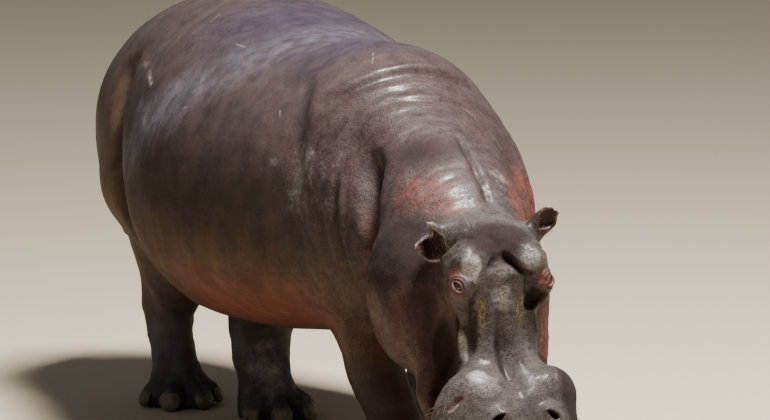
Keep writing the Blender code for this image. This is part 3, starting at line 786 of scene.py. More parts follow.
BODY_PATCHES = (
    Patch("rosy", (1.04, -0.27, 1.06), (0.16, 0.14, 0.13), 0.75),
    Patch("rosy", (1.10, -0.22, 1.02), (0.08, 0.08, 0.07), 0.95),
    Patch("rosy", (0.98, -0.30, 0.98), (0.10, 0.06, 0.10), 0.8),
    Patch("rosy", (1.07, 0.07, 1.03), (0.16, 0.09, 0.15), 1.0),
    Patch("rosy", (0.64, 0.30, 0.95), (0.13, 0.11, 0.15), 1.0),
    Patch("rosy", (0.78, -0.35, 0.85), (0.08, 0.05, 0.24), 0.62),
    # painted light on the shoulder, on the top of the neck, on the far hind leg under the belly and on the
    # ribs
    Patch("pale", (0.46, -0.42, 1.05), (0.28, 0.16, 0.20), 0.56),
    Patch("pale", (1.02, 0.0, 1.10), (0.12, 0.06, 0.09), 0.65),
    Patch("pale", (-0.67, -0.02, 0.20), (0.18, 0.13, 0.26), 0.60),
    Patch("pale", (0.58, -0.35, 1.15), (0.20, 0.12, 0.14), 0.38),
    Patch("pale", (-0.52, -0.52, 1.15), (0.22, 0.10, 0.15), 0.50),
    # painted shade beside the crease on top of the neck
    Patch("painted_shade", (0.87, -0.20, 1.16), (0.14, 0.20, 0.10), 0.7),
)
# colour marks at the hide's points: fold and inner are painted shade in the creases and the recesses, dusk is
# painted shade in patches, pale is painted highlight and painted light besides the ears' light-coloured rims,
# and rosy and dirt are the hide's own colour
MASKS = ("fold", "rosy", "pale", "dirt", "painted_shade", "inner")


# ---------------------------------------------------------------- the hide
@dataclass(frozen=True)
class ToeShape:
    """How the toes swell over their nails and part from each other."""

    lift: float = 0.035  # how far the swelling's middle lies over the nail's
    reach: float = 0.085
    swelling: float = 0.014
    cleft_width: float = 0.014
    cleft_depth: float = 0.022
    cleft_top: float = 0.13
    cleft_foot: float = 0.03  # how far the cleft starts in front of the nails
    cleft_run: float = 0.05  # how far it runs back on its way up

    def cleft(self, one: Vector, other: Vector, heel: Vector) -> Fold:
        """Groove between two toes.

        Args:
            one: Middle of one nail.
            other: Middle of the next.
            heel: Middle of the foot.

        Returns:
            The groove, from the ground up.
        """
        middle = (one + other) / 2
        out = (middle - heel).normalized()
        ground = middle + out * self.cleft_foot
        ground.z = 0.0
        high = ground - out * self.cleft_run
        high.z = self.cleft_top
        line = (ground, (ground + high) / 2 + out * 0.01, high)
        local = tuple((-p.y, p.x - MIDLINE, p.z) for p in line)
        return Fold(local, self.cleft_width, self.cleft_depth, 0.0, 0.6, both=False, fade=0.35)


@dataclass
class Hide:
    """The one skin over all flesh nodes."""

    cell: float = 0.0203  # edge length of the fused mesh
    overlap: float = 0.002  # how far the copies are swollen, so that they fuse
    ear_stump: float = 0.042  # radius of the ball that fills an ear's pocket
    ear_pocket: Point = (0.010, 0.137, -0.064)  # middle of the left one
    weld: float = 0.00005  # gap that is closed in the copies
    nail_share: float = 0.8  # size of the copies that fill the nails' pockets
    sole: float = 0.004  # height up to which the soles are flattened
    trunk_span: float = 0.20  # lengths of unevenness that easing halves
    head_span: float = 0.085
    leg_span: float = 0.09
    foot_span: float = 0.05
    tail_span: float = 0.03
    face_low: Point = (-0.02, -0.22, -0.12)  # corners of the finely meshed face, in the head's terms
    face_high: Point = (0.42, 0.22, 0.50)
    ear_reach: float = 0.085  # how far the fine mesh goes round the ears and the nostrils
    nostril_reach: float = 0.075
    toes: ToeShape = ToeShape()
    obj: bpy.types.Object = field(init=False)
    surface: Surface = field(init=False)
    tree: BVHTree = field(init=False)
    marks: dict[str, np.ndarray] = field(init=False, default_factory=dict)

    def copies(self) -> list[bpy.types.Object]:
        """Copies the flesh nodes and fills the pockets of the eyes, nails and ears.

        Returns:
            The copies and the fillings.
        """
        made = [object_of("copy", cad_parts[name].data.copy()) for name in FLESH_NODES]
        made += [object_of("copy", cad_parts[f"eye_{side.word}"].data.copy()) for side in Side]
        for foot in FEET:
            for toe in TOES:
                copy = object_of("copy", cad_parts[f"nail_{foot}_{toe}"].data.copy())
                middle = middle_of(f"nail_{foot}_{toe}")
                smaller = Matrix.Scale(self.nail_share, 4)
                copy.data.transform(Matrix.Translation(middle) @ smaller @ Matrix.Translation(-middle))
                made.append(copy)
        along, left, above = self.ear_pocket
        for side in Side:
            root = in_head(along, side.value * left, above)
            bpy.ops.mesh.primitive_uv_sphere_add(radius=self.ear_stump, location=root)
            made.append(bpy.context.object)
        return made

    def cast(self) -> None:
        """Fuses the copies into one shell of even cells."""
        copies = self.copies()
        bpy.ops.object.select_all(action="DESELECT")
        for copy in copies:
            copy.select_set(True)
        bpy.context.view_layer.objects.active = copies[0]
        bpy.ops.object.join()
        self.obj = bpy.context.object
        self.obj.name = self.obj.data.name = "hide"
        self.obj.data.materials.clear()
        settle_origin(self.obj)
        bpy.ops.object.mode_set(mode="EDIT")
        bpy.ops.mesh.select_all(action="SELECT")
        bpy.ops.mesh.remove_doubles(threshold=self.weld)
        bpy.ops.object.mode_set(mode="OBJECT")
        apply_modifier(self.obj, "DISPLACE", strength=self.overlap, mid_level=0.0)
        apply_modifier(self.obj, "REMESH", mode="VOXEL", voxel_size=self.cell)
        self.keep_largest()
        self.surface = Surface(self.obj)

    def keep_largest(self) -> None:
        """Drops all but the largest closed shell."""
        bm = bmesh.new()
        bm.from_mesh(self.obj.data)
        unseen = set(bm.verts)
        shells = []
        while unseen:
            shell, edge = set(), {unseen.pop()}
            while edge:
                shell |= edge
                edge = {e.other_vert(v) for v in edge for e in v.link_edges} - shell
            unseen -= shell
            shells.append(shell)
        shells.sort(key=len)
        for shell in shells[:-1]:
            bmesh.ops.delete(bm, geom=list(shell), context="VERTS")
        bm.to_mesh(self.obj.data)
        bm.free()

    def ease(self) -> None:
        """Eases the facets away, each region by its own span."""
        s = self.surface
        head = s.in_head()
        height = s.points[:, 2]
        span = np.full(s.count, self.trunk_span)
        to_head = smoothstep(-0.25, 0.0, head[:, 0]) * smoothstep(-0.60, -0.40, head[:, 2])
        span += (self.head_span - span) * to_head
        below = smoothstep(0.70, 0.42, height) * (1 - to_head)
        span += (self.leg_span - span) * below
        span += (self.foot_span - span) * smoothstep(0.22, 0.12, height) * (1 - to_head)
        tail_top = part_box("tail")[1]
        tail = smoothstep(0.10, 0.0, tail_top.y - s.points[:, 1]) * (1 - to_head)
        span += (self.tail_span - span) * tail
        s.ease(span, self.cell)

    def refine(self, chosen: np.ndarray) -> None:
        """Halves the mesh's cells.

        Args:
            chosen: Which points are in the region; a face is split where all its corners are.
        """
        select_only(self.obj)
        bpy.ops.object.mode_set(mode="EDIT")
        bpy.ops.mesh.select_all(action="DESELECT")
        bm = bmesh.from_edit_mesh(self.obj.data)
        for face in bm.faces:
            if all(chosen[vertex.index] for vertex in face.verts):
                face.select = True
        bmesh.update_edit_mesh(self.obj.data)
        bpy.ops.mesh.subdivide(number_cuts=1, smoothness=0)
        bpy.ops.object.mode_set(mode="OBJECT")
        self.surface = Surface(self.obj)

    def coarse_region(self) -> np.ndarray:
        """Points of the head, the feet and the folds of the neck, where the mesh is refined once."""
        s = self.surface
        head, body = s.in_head(), s.in_body()
        chosen = (head[:, 0] > -0.12) & (head[:, 2] > -0.46)
        chosen |= body[:, 2] < 0.17
        chosen |= (body[:, 0] > 0.47) & (body[:, 2] > 0.70)
        return chosen

    def fine_region(self) -> np.ndarray:
        """Finds where the mesh is refined twice.

        Returns:
            True for the points of the face and round the ears and the nostrils.
        """
        s = self.surface
        head = s.in_head()
        chosen = (head > np.array(self.face_low)).all(axis=1) & (head < np.array(self.face_high)).all(axis=1)
        for side in Side:
            for centre, reach in ((EarShape.root_of(side), self.ear_reach),
                                  (Nostril().spot_of(side), self.nostril_reach)):
                chosen |= np.linalg.norm(s.points - np.array(centre), axis=1) < reach
        return chosen

    def reread(self) -> None:
        """Reads the surface and its marks again after the mesh has changed."""
        self.surface = Surface(self.obj)
        corners = [tuple(face.vertices) for face in self.obj.data.polygons]
        self.tree = BVHTree.FromPolygons(self.surface.points.tolist(), corners)
        for name in (*MASKS, "kept"):
            stored = self.obj.data.attributes.get(name)
            values = np.zeros(self.surface.count)
            if stored:
                values = np.empty(self.surface.count, np.float32)
                stored.data.foreach_get("value", values)
            self.marks[name] = values.astype(float)

    def store_marks(self) -> None:
        """Writes the marks into the mesh as attributes."""
        for name, values in self.marks.items():
            stored = self.obj.data.attributes.get(name)
            stored = stored or self.obj.data.attributes.new(name, "FLOAT", "POINT")
            stored.data.foreach_set("value", values.astype(np.float32))

    def draw(self, fold: Fold, to_world: Callable[..., Vector]) -> None:
        """Draws a fold into the surface and into the fold mask.

        Args:
            fold: The fold, whose line need not lie quite on the surface.
            to_world: Gives the world's place for one of the line's points.
        """
        s = self.surface
        for line, roll, share in fold.lines(to_world):
            hits = [self.tree.find_nearest(point) for point in smooth_line(line)]
            track = np.array([hit[0] for hit in hits])
            sides = np.array([hit[1] for hit in hits])
            reach = fold.width * 4
            low, high = track.min(axis=0) - reach, track.max(axis=0) + reach
            close = np.nonzero(((s.points > low) & (s.points < high)).all(axis=1))[0]
            if not len(close):
                continue
            nearest, across, run = self.along_track(s.points[close], track, sides)
            taper = smoothstep(-0.02, fold.fade, run) * smoothstep(1.02, 1 - fold.fade, run)
            groove = np.exp(-((nearest / fold.width) ** 2)) * taper
            shift = -fold.depth * share * groove
            beside = np.exp(-(((across * math.copysign(1, roll)) / fold.width - 1.7) / 0.9) ** 2)
            shift += abs(roll) * beside * np.exp(-((nearest / (fold.width * 3)) ** 4)) * taper
            s.points[close] += s.normals()[close] * shift[:, None]
            # the groove is darkened with painted shade through the fold mark
            if fold.tint:
                mark = self.marks["fold"]
                mark[close] = np.maximum(mark[close], fold.tint * share * groove)
        s.write()

    @staticmethod
    def along_track(places: np.ndarray, track: np.ndarray, sides: np.ndarray) -> tuple[np.ndarray, ...]:
        """Measures places from a line on the surface.

        Args:
            places: Places near the line.
            track: Points of the line.
            sides: Normals of the surface there.

        Returns:
            Distance from the line, distance to its left, and share of the line that is passed.
        """
        nearest = np.full(len(places), np.inf)
        across = np.zeros(len(places))
        run = np.zeros(len(places))
        last = len(track) - 1
        for i in range(last):
            step = track[i + 1] - track[i]
            length = max(step @ step, 1e-12)
            t = np.clip(((places - track[i]) @ step) / length, 0, 1)
            off = places - track[i] - t[:, None] * step
            distance = np.linalg.norm(off, axis=1)
            nearer = distance < nearest
            nearest[nearer] = distance[nearer]
            side = np.cross(sides[i], step / math.sqrt(length))
            across[nearer] = (off @ side)[nearer]
            run[nearer] = ((i + t) / last)[nearer]
        return nearest, across, run

    def swell(self) -> None:
        """Raises the bulges."""
        s = self.surface
        shift = np.zeros(s.count)
        for swells, points in ((HEAD_SWELLS, s.in_head()), (BODY_SWELLS, s.in_body())):
            for bulge in swells:
                shift += bulge.shift(points)
        s.points += s.normals() * shift[:, None]
        s.write()

    def shape_toes(self) -> None:
        """Rounds the toes over the nails and parts them by grooves."""
        s = self.surface
        for foot in FEET:
            nails = [middle_of(f"nail_{foot}_{toe}") for toe in TOES]
            for nail in nails:
                swollen = s.near(nail + Vector((0, 0, self.toes.lift)), self.toes.reach)
                s.points += s.normals() * (self.toes.swelling * swollen)[:, None]
            s.write()
            heel = Toenail.heel_of(foot)
            for one, other in zip(nails, nails[1:]):
                self.draw(self.toes.cleft(one, other, heel), at)

    def wrinkle(self, kinds: Sequence[Wrinkles]) -> None:
        """Adds the fine relief.

        Args:
            kinds: Kinds of wrinkles, from coarse to fine.
        """
        s = self.surface
        for kind in kinds:
            shift = kind.shift(s)
            s.points += s.normals() * shift[:, None]
            s.write()
            # creases are darkened with painted shade through the fold mark
            if kind.creased:
                self.marks["fold"] = np.maximum(self.marks["fold"], -0.30 * shift / kind.height)

    def stand(self) -> None:
        """Flattens the soles on the ground."""
        s = self.surface
        s.points[:, 2] = np.where(s.points[:, 2] < self.sole, 0.0, s.points[:, 2])
        s.write()

    def paint(self) -> None:
        """Fills the colour masks."""
        s = self.surface
        for patches, points in ((HEAD_PATCHES, s.in_head()), (BODY_PATCHES, s.in_body())):
            for patch in patches:
                self.marks[patch.mask] = np.maximum(self.marks[patch.mask], patch.value(points))

    def graft(self) -> None:
        """Grows the lids, the nostrils and the ears on the hide and eases their edges in."""
        growths = [(Lids().growth(side), Lids().rings) for side in Side]
        growths += [(Nostril().growth(side), Nostril().rings) for side in Side]
        growths += [(ear.growth(), ear.rings) for ear in EARS]
        bm = bmesh.new()
        bm.from_mesh(self.obj.data)
        for growth, rings in growths:
            growth.grow(bm, rings)
        bm.to_mesh(self.obj.data)
        bm.free()
        facing_out(self.obj)
        self.reread()
        s = self.surface
        free = np.zeros(s.count)
        for growth, _ in growths:
            free = np.maximum(free, s.near(growth.centre, growth.radius * 2.4))
        s.relax(np.clip(free * 2, 0, 1) * (1 - np.clip(self.marks.pop("kept"), 0, 1)), 6)
        self.obj.data.attributes.remove(self.obj.data.attributes["kept"])

    def build(self) -> bpy.types.Object:
        """Builds the hide with all its folds and growths.

        Returns:
            The finished piece.
        """
        self.cast()
        log.info("hide cast: %d points", self.surface.count)
        self.ease()
        self.refine(self.coarse_region())
        self.surface.relax(0.5 * self.coarse_region(), 3)
        self.refine(self.fine_region())
        self.surface.relax(0.7 * self.fine_region(), 3)
        log.info("hide refined: %d points", self.surface.count)
        self.reread()
        self.swell()
        for folds, to_world in ((BODY_FOLDS, at), (FACE_FOLDS, in_head)):
            for fold in folds:
                self.draw(fold, to_world)
        self.shape_toes()
        self.wrinkle(WRINKLES)
        self.store_marks()
        self.graft()
        self.paint()
        self.stand()
        self.store_marks()
        select_only(self.obj)
        bpy.ops.object.shade_smooth()
        self.obj.data.materials.append(HideFinish().material())
        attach(self.obj, "root")
        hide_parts(*FLESH_NODES, "ear_right", "ear_left")
        triangles = sum(len(face.vertices) - 2 for face in self.obj.data.polygons)
        log.info("hide done: %d triangles", triangles)
        return self.obj


# ---------------------------------------------------------------- growths on the hide
Ring = dict[str, np.ndarray | float]  # places of a ring of points, and their marks


def axes_of(out: Vector, across: Vector, hand: int = 1) -> Matrix:
    """Axes of a growth on the head.

    Args:
        out: Way out of the surface, in the head's terms.
        across: Rough way across, in the head's terms.
        hand: 1 for right-handed axes and -1 for left-handed ones.

    Returns:
        Matrix whose columns are across, up and out.
    """
    out = (HEAD_TURN @ out).normalized()
    across = HEAD_TURN @ across
    across = (across - out * across.dot(out)).normalized()
    return Matrix((across, out.cross(across) * hand, out)).transposed()


def crest(share: float, middle: float, spread: float) -> float:
    """Height from 0 to 1 of a soft crest at a share of the way."""
    return math.exp(-((share - middle) / spread) ** 2)


@dataclass
class Growth:
    """A round hole in the hide with rings of new skin grown on its edge.

    The axes are the columns of turn: across, up and out of the surface.
    """

    centre: Vector
    turn: Matrix
    radius: float
    depth: float = 0.06  # how far along the axis faces are taken out
    finer: bool = False  # halve the edges of the hole
    calmings: int = 6  # how many times its edge is smoothed along the axis

    def cut(self, bm: bmesh.types.BMesh) -> None:
        """Takes out the faces in the hole."""
        back = self.turn.transposed()
        doomed = []
        for face in bm.faces:
            off = face.calc_center_median() - self.centre
            if off.length > self.radius + self.depth:
                continue
            u, v, w = back @ off
            if math.hypot(u, v) < self.radius and abs(w) < self.depth:
                doomed.append(face)
        bmesh.ops.delete(bm, geom=doomed, context="FACES")
        if self.finer:
            bmesh.ops.subdivide_edges(bm, edges=[e for e in bm.edges if e.is_boundary], cuts=1)

    @staticmethod
    def edge_of(bm: bmesh.types.BMesh) -> list[bmesh.types.BMVert]:
        """Walks round the one hole that the mesh has.

        Args:
            bm: Mesh of the hide.

        Returns:
            The points of the hole's edge in order.
        """
        edges = {e for e in bm.edges if e.is_boundary}
        start = min(edges, key=lambda e: e.index)
        edges.discard(start)
        loop = list(start.verts)
        while following := [e for e in loop[-1].link_edges if e in edges]:
            edges.discard(following[0])
            loop.append(following[0].other_vert(loop[-1]))
        if loop[0] is loop[-1]:
            loop.pop()
        return loop

    def open(self, bm: bmesh.types.BMesh) -> tuple[list[bmesh.types.BMVert], np.ndarray, np.ndarray]:
        """Cuts the hole and lays its edge on a circle.

        Args:
            bm: Mesh of the hide.

        Returns:
            The edge's points in order, their angles, and how far each stands out along the axis.
        """
        self.cut(bm)
        loop = self.edge_of(bm)
        back = self.turn.transposed()
        flat = [back @ (vertex.co - self.centre) for vertex in loop]
        area = sum(a.x * b.y - a.y * b.x for a, b in zip(flat, flat[1:] + flat[:1]))
        if area < 0:
            loop.reverse()
            flat.reverse()
        steps = np.arange(len(loop)) * 2 * math.pi / len(loop)
        measured = np.unwrap([math.atan2(p.y, p.x) for p in flat])
        angles = steps + (measured - steps).mean()
        heights = np.array([p.z for p in flat])
        for _ in range(self.calmings):
            heights = (np.roll(heights, 1) + 2 * heights + np.roll(heights, -1)) / 4
        for vertex, angle, height in zip(loop, angles, heights):
            vertex.co = self.place(self.radius * math.cos(angle), self.radius * math.sin(angle), height)
        return loop, angles, heights

    def place(self, u: float, v: float, w: float) -> Vector:
        """World point of a place in the growth's own terms."""
        return self.centre + self.turn @ Vector((u, v, w))

    def grow(self, bm: bmesh.types.BMesh, rings: Callable[[np.ndarray, np.ndarray], list[Ring]]) -> None:
        """Cuts the hole, grows the rings and closes the last one.

        Args:
            bm: Mesh of the hide.
            rings: Gives, for the angles and heights of the edge, each ring's places and marks. The
                last one is a single point.
        """
        loop, angles, heights = self.open(bm)
        log.info("hole in the hide: %d points round its edge", len(loop))
        layers = {name: bm.verts.layers.float[name] for name in MASKS}
        kept = bm.verts.layers.float["kept"]
        for ring in rings(angles, heights):
            places = np.atleast_2d(ring["places"])
            marks = {name: np.broadcast_to(ring.get(name, 0.0), len(places)) for name in MASKS}
            made = []
            for i, (u, v, w) in enumerate(places):
                vertex = bm.verts.new(self.place(u, v, w))
                vertex[kept] = ring.get("kept", 1.0)
                for name in MASKS:
                    vertex[layers[name]] = marks[name][i]
                made.append(vertex)
            count = len(loop)
            for i in range(count):
                j = (i + 1) % count
                corners = (made[0],) if len(made) == 1 else (made[j], made[i])
                bm.faces.new((loop[i], loop[j], *corners))
            loop = made


@dataclass(frozen=True)
class Lids:
    """Eyelids: a mound that rises over the eyeball and opens in an almond."""

    ring: float = 0.046  # radius at which the lids leave the face
    half_length: float = 0.0175  # of the opening
    half_height: float = 0.0082
    thickness: float = 0.0055
    steps: int = 17
    wrinkle: float = 0.0011
    lid_fold: float = 0.0045
    bulge: float = 0.0060  # of the upper lid, and of the corner of the eye
    sink: float = 0.005  # how far the eye is drawn back into the head
    facing: Point = (0.15, 0.60, 0.78)  # way the left eye looks, in the head's terms
    slant: Point = (0.70, -0.70, 0.0)  # way its opening runs

    def growth(self, side: Side) -> Growth:
        """Hole for the lids of one side."""
        mirror = Vector((1, side.value, 1))
        turn = axes_of(Vector(self.facing) * mirror, Vector(self.slant) * mirror, side.value)
        return Growth(middle_of(f"eye_{side.word}") - turn.col[2] * self.sink, turn, self.ring)

    def rings(self, angles: np.ndarray, heights: np.ndarray) -> list[Ring]:
        """Rings from the face to the margin of the lids, and on behind it.

        Args:
            angles: Angles of the hole's points round the axis.
            heights: How far they stand out along it.

        Returns:
            Places and marks of each ring.
        """
        ball = EYE_RADIUS
        c, s = np.cos(angles), np.sin(angles)
        margin_u = self.half_length * c
        margin_v = self.half_height * s * (1 - 0.25 * c * c) + 0.002 * c
        dome = ball + self.thickness
        margin_w = np.sqrt(dome ** 2 - margin_u ** 2 - margin_v ** 2)
        made = []
        for step in range(1, self.steps + 1):
            t = step / self.steps
            u = (1 - t) * self.ring * c + t * margin_u
            v = (1 - t) * self.ring * s + t * margin_v
            w = heights + (margin_w - heights) * (1 - (1 - t) ** 1.75)
            calm = 4 * t * (1 - t)
            w = w + self.wrinkle * calm * np.sin(2 * math.pi * (3.6 * t + 0.10 * np.sin(3 * angles)))
            upper = np.clip(0.35 + 0.65 * s, 0, 1)
            w -= self.lid_fold * upper * crest(t, 0.66, 0.07)
            w -= 0.6 * self.lid_fold * (1 - upper) * crest(t, 0.74, 0.06)
            w += self.bulge * upper * crest(t, 0.84, 0.12)
            w += self.bulge * np.clip(c, 0, 1) ** 3 * crest(t, 0.55, 0.25)
            # the lids darken towards their margin, and in their crease, with painted shade
            made.append({"places": np.stack([u, v, w], axis=1), "kept": min(1, t * 3),
                         "rosy": 0.35 + 0.2 * t ** 4 + 0.7 * upper * crest(t, 0.86, 0.14),
                         "fold": 0.2 * t + 0.45 * crest(t, 0.66, 0.07)})
        # painted shade darkens the margin of the lids and the rings behind it
        for shrink, drop, dark in ((0.95, 0.0015, 0.5), (0.90, 0.004, 1.0), (0.86, 0.0060, 1.0)):
            places = np.stack([margin_u * shrink, margin_v * shrink, margin_w - drop], axis=1)
            made.append({"places": places, "rosy": 1.0, "fold": dark})
        # behind the lids the hide is darkened fully as painted shade
        inner = np.stack([margin_u * 0.8, margin_v * 0.8, np.full_like(c, ball - 0.010)], axis=1)
        made.append({"places": inner, "inner": 1.0})
        made.append({"places": np.array((0, 0, ball - 0.014)), "inner": 1.0})
        return made


@dataclass(frozen=True)
class Nostril:
    """Slit of a nostril with a raised rim, on top of the muzzle."""

    spot: Point = (0.615, 0.092, 0.02)
    ring: float = 0.045
    half_length: float = 0.028
    half_width: float = 0.012
    rim: float = 0.012
    pit: float = 0.045
    facing: Point = (0.25, 0.20, 0.95)  # way the left one opens, in the head's terms
    slant: Point = (0.55, 0.83, 0.0)  # way its slit runs
    steps: int = 9

    def spot_of(self, side: Side) -> Vector:
        """Place of the nostril of one side."""
        along, left, above = self.spot
        return in_head(along, side.value * left, above)

    def growth(self, side: Side) -> Growth:
        """Hole for the nostril of one side."""
        mirror = Vector((1, side.value, 1))
        turn = axes_of(Vector(self.facing) * mirror, Vector(self.slant) * mirror)
        return Growth(self.spot_of(side), turn, self.ring, 0.08)

    def rings(self, angles: np.ndarray, heights: np.ndarray) -> list[Ring]:
        """Rings up the rim and down into the nostril.

        Args:
            angles: Angles of the hole's points round the axis.
            heights: How far they stand out along it.

        Returns:
            Places and marks of each ring.
        """
        c, s = np.cos(angles), np.sin(angles)
        slit_u, slit_v = self.half_length * c, self.half_width * s * (1 + 0.3 * c)
        level = heights.mean()
        made = []
        for step in range(1, self.steps + 1):
            t = step / self.steps
            u = (1 - t) * self.ring * c + t * slit_u
            v = (1 - t) * self.ring * s + t * slit_v
            w = heights * (1 - t) + level * t + self.rim * math.sin(0.5 * math.pi * t) ** 1.5
            # the inner edge of the rim is darkened with painted shade
            made.append({"places": np.stack([u, v, w], axis=1), "kept": min(1, t * 3),
                         "fold": 0.3 * t ** 4})
        # painted shade that deepens down into the nostril
        for shrink, deep in ((0.88, 0.004), (0.78, 0.014), (0.75, 0.028), (0.5, self.pit)):
            w = np.full_like(c, level + self.rim - deep)
            made.append({"places": np.stack([slit_u * shrink, slit_v * shrink, w], axis=1),
                         "inner": min(1.0, deep * 60), "rosy": 0.6})
        made.append({"places": np.array((0, 0, level + self.rim - self.pit)), "inner": 1.0})
        return made


@dataclass(frozen=True)
class EarShape:
    """Ear: a rolled stalk that widens to a broad cup with a thick, notched rim."""

    side: Side
    tip: Point  # way the ear points: forward, left and up
    opening: Point  # way the cup opens
    length: float = 0.096
    widest: float = 0.066  # half width of the cup
    stalk: float = 0.036  # half width at the root
    back: float = 0.030  # how far the cup bulges behind
    front: float = 0.030  # how far its front wall stands
    wall: float = 0.012
    front_height: float = -0.004
    rise: float = 1.5  # how steeply the rim climbs from its front to its tip
    knob: float = 0.30  # how much of a fleshy lobe the rim has at its upper corner; 0 for none
    knob_angle: float = 0.66
    knob_spread: float = 0.52
    knob_height: float = 0.40  # as a share of the length
    notch: float = 0.58  # how deep the rim is cut beside the lobe
    shade: float = 0.0  # how much the outside is darkened with painted shade
    narrowing: float = 0.42  # how much the cup narrows to its tip
    bright: float = 1.0  # how light-coloured the rim is, with the painted highlight on the lobe's outside
    steps: int = 14
    ring: float = 0.046

    @staticmethod
    def root_of(side: Side) -> Vector:
        """Root of an ear on the head."""
        return in_head(0.010, side.value * 0.155, -0.047)

    def growth(self) -> Growth:
        """Hole for the ear's stalk."""
        out = way(*self.tip)
        across = out.cross(way(*self.opening)).normalized()
        opening = across.cross(out)
        turn = Matrix((across, opening, out)).transposed()
        return Growth(self.root_of(self.side), turn, self.ring, 0.09, finer=True)

    def lobe(self, angles: np.ndarray) -> np.ndarray:
        """Mask of the fleshy lobe at the rim's upper corner."""
        off = self.turned(angles) - self.knob_angle
        return np.exp(-(off / self.knob_spread) ** 4) * (self.knob > 0)

    @staticmethod
    def turned(angles: np.ndarray) -> np.ndarray:
        """The angles brought between minus and plus half a turn."""
        return (angles + math.pi) % (2 * math.pi) - math.pi

    def rim(self, angles: np.ndarray, late: float) -> np.ndarray:
        """Height of the rim over the root, wavy where late is near 1."""
        behind = (1 - np.sin(angles)) / 2
        top = self.front_height + (self.length - self.front_height) * behind ** self.rise
        top = top * (1 + late * (0.02 * np.sin(5 * angles + 1) + 0.012 * np.sin(11 * angles)))
        return np.maximum(top, late * self.lobe(angles) * self.knob_height * self.length)

    def outline(self, angles: np.ndarray, share: float, inset: float) -> np.ndarray:
        """Places on the cup at a share of the way from its root to its rim.

        Args:
            angles: Angles round the cup; 90 degrees is its front.
            share: 0 at the root and 1 at the rim.
            inset: Distance that the wall lies inside the cup's outer face.

        Returns:
            Places as across, towards the opening and out.
        """
        turned = self.turned(angles)
        late = smoothstep(0.3, 1.0, share)
        corner = late * self.lobe(angles)
        cut = late * self.notch * smoothstep(-1.35, -0.75, turned) * smoothstep(0.30, 0.02, turned)
        inset = inset * (1 + 1.6 * corner)
        height = share * self.rim(angles, late)
        part = height / self.length
        full = np.clip(np.maximum(part, 0.55 * share) / 0.62, 0, 1)
        width = self.stalk + (self.widest - self.stalk) * np.sin(full * math.pi / 2)
        width *= 1 - self.narrowing * smoothstep(0.6, 1.0, part)
        flat = (1 + self.knob * 0.2) / np.maximum(np.cos(turned), 0.5)
        flat = flat * (1 + 0.05 * np.sin(9 * angles + 22 * share))
        width = width * (1 + corner * (flat - 1) - cut) - inset
        behind = self.stalk * 0.7 * (1 - part) + self.back * np.sin(math.pi * np.clip(part, 0, 1)) - inset
        before = self.stalk * 0.7 * (1 - part) + self.front * part * 1.5 - inset
        across = width * np.cos(angles)
        depth = np.where(np.sin(angles) > 0, before, behind) * np.sin(angles)
        depth += 0.016 * part ** 2
        return np.stack([across, depth, height], axis=1)

    def rings(self, angles: np.ndarray, heights: np.ndarray) -> list[Ring]:
        """Rings up the outside of the cup, over its rim and down inside.

        Args:
            angles: Angles of the hole's points round the axis.
            heights: How far they stand out along it.

        Returns:
            Places and marks of each ring.
        """
        c, s = np.cos(angles), np.sin(angles)
        base = np.stack([self.ring * c, self.ring * s, heights], axis=1)
        made = []
        for step in range(1, self.steps + 1):
            t = step / self.steps
            cup = self.outline(angles, t, 0.0)
            stay = 1 - smoothstep(0.0, 0.40, t)
            # the outside takes the ear's painted shade; its light colour near the rim is the rim's own, and
            # on the lobe a painted highlight
            made.append({"places": base * stay + cup * (1 - stay), "kept": min(1, t * 4),
                         "rosy": 0.2 + 0.6 * t ** 8, "inner": self.shade,
                         "pale": self.bright * np.maximum(0.8 * t ** 6, 0.9 * self.lobe(angles) * t)})
        for share in (0.25, 0.75):
            made.append({"places": self.outline(angles, 1.03, self.wall * share), "rosy": 0.8,
                         "pale": self.bright})
        # inside the cup, painted shade that deepens towards the root, with less of it on the lobe
        for step in range(self.steps, 0, -1):
            t = step / self.steps
            inset = self.wall * (1 + 0.6 * (1 - t))
            places = self.outline(angles, max(t, 0.12), inset)
            lobe = self.lobe(angles) * smoothstep(0.3, 0.8, t)
            made.append({"places": places, "rosy": 1.0, "pale": 0.9 * lobe,
                         "inner": max(0.66 - 0.5 * t ** 4, self.shade) * (1 - lobe)})
        made.append({"places": np.array((0, 0, 0.008)), "inner": 1.0})
        return made


EARS = (
    EarShape(Side.RIGHT, (-0.22, -0.92, -0.27), (0.90, -0.30, 0.05)),
    # the left ear's outside is darkened with painted shade
    EarShape(Side.LEFT, (0.05, 0.70, 0.71), (0.85, -0.35, -0.25), length=0.098, widest=0.038, stalk=0.030,
             back=0.016, front=0.010, front_height=0.020, rise=0.6, knob=0.0, notch=0.0, shade=0.6,
             narrowing=0.15, bright=0.45, ring=0.040),
)
EYE_RADIUS = (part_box("eye_right")[1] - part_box("eye_right")[0]).x / 2


# ---------------------------------------------------------------- finishes
@dataclass(frozen=True)
class Stroke:
    """A scratch or scar: a thin straight mark of one colour."""

    start: Point
    end: Point
    width: float
    strength: float = 0.8
    colour: str = "pale"
    on_head: bool = False

    @property
    def ends(self) -> tuple[Vector, Vector]:
        """World places of both ends."""
        place = in_head if self.on_head else at
        return place(*self.start), place(*self.end)


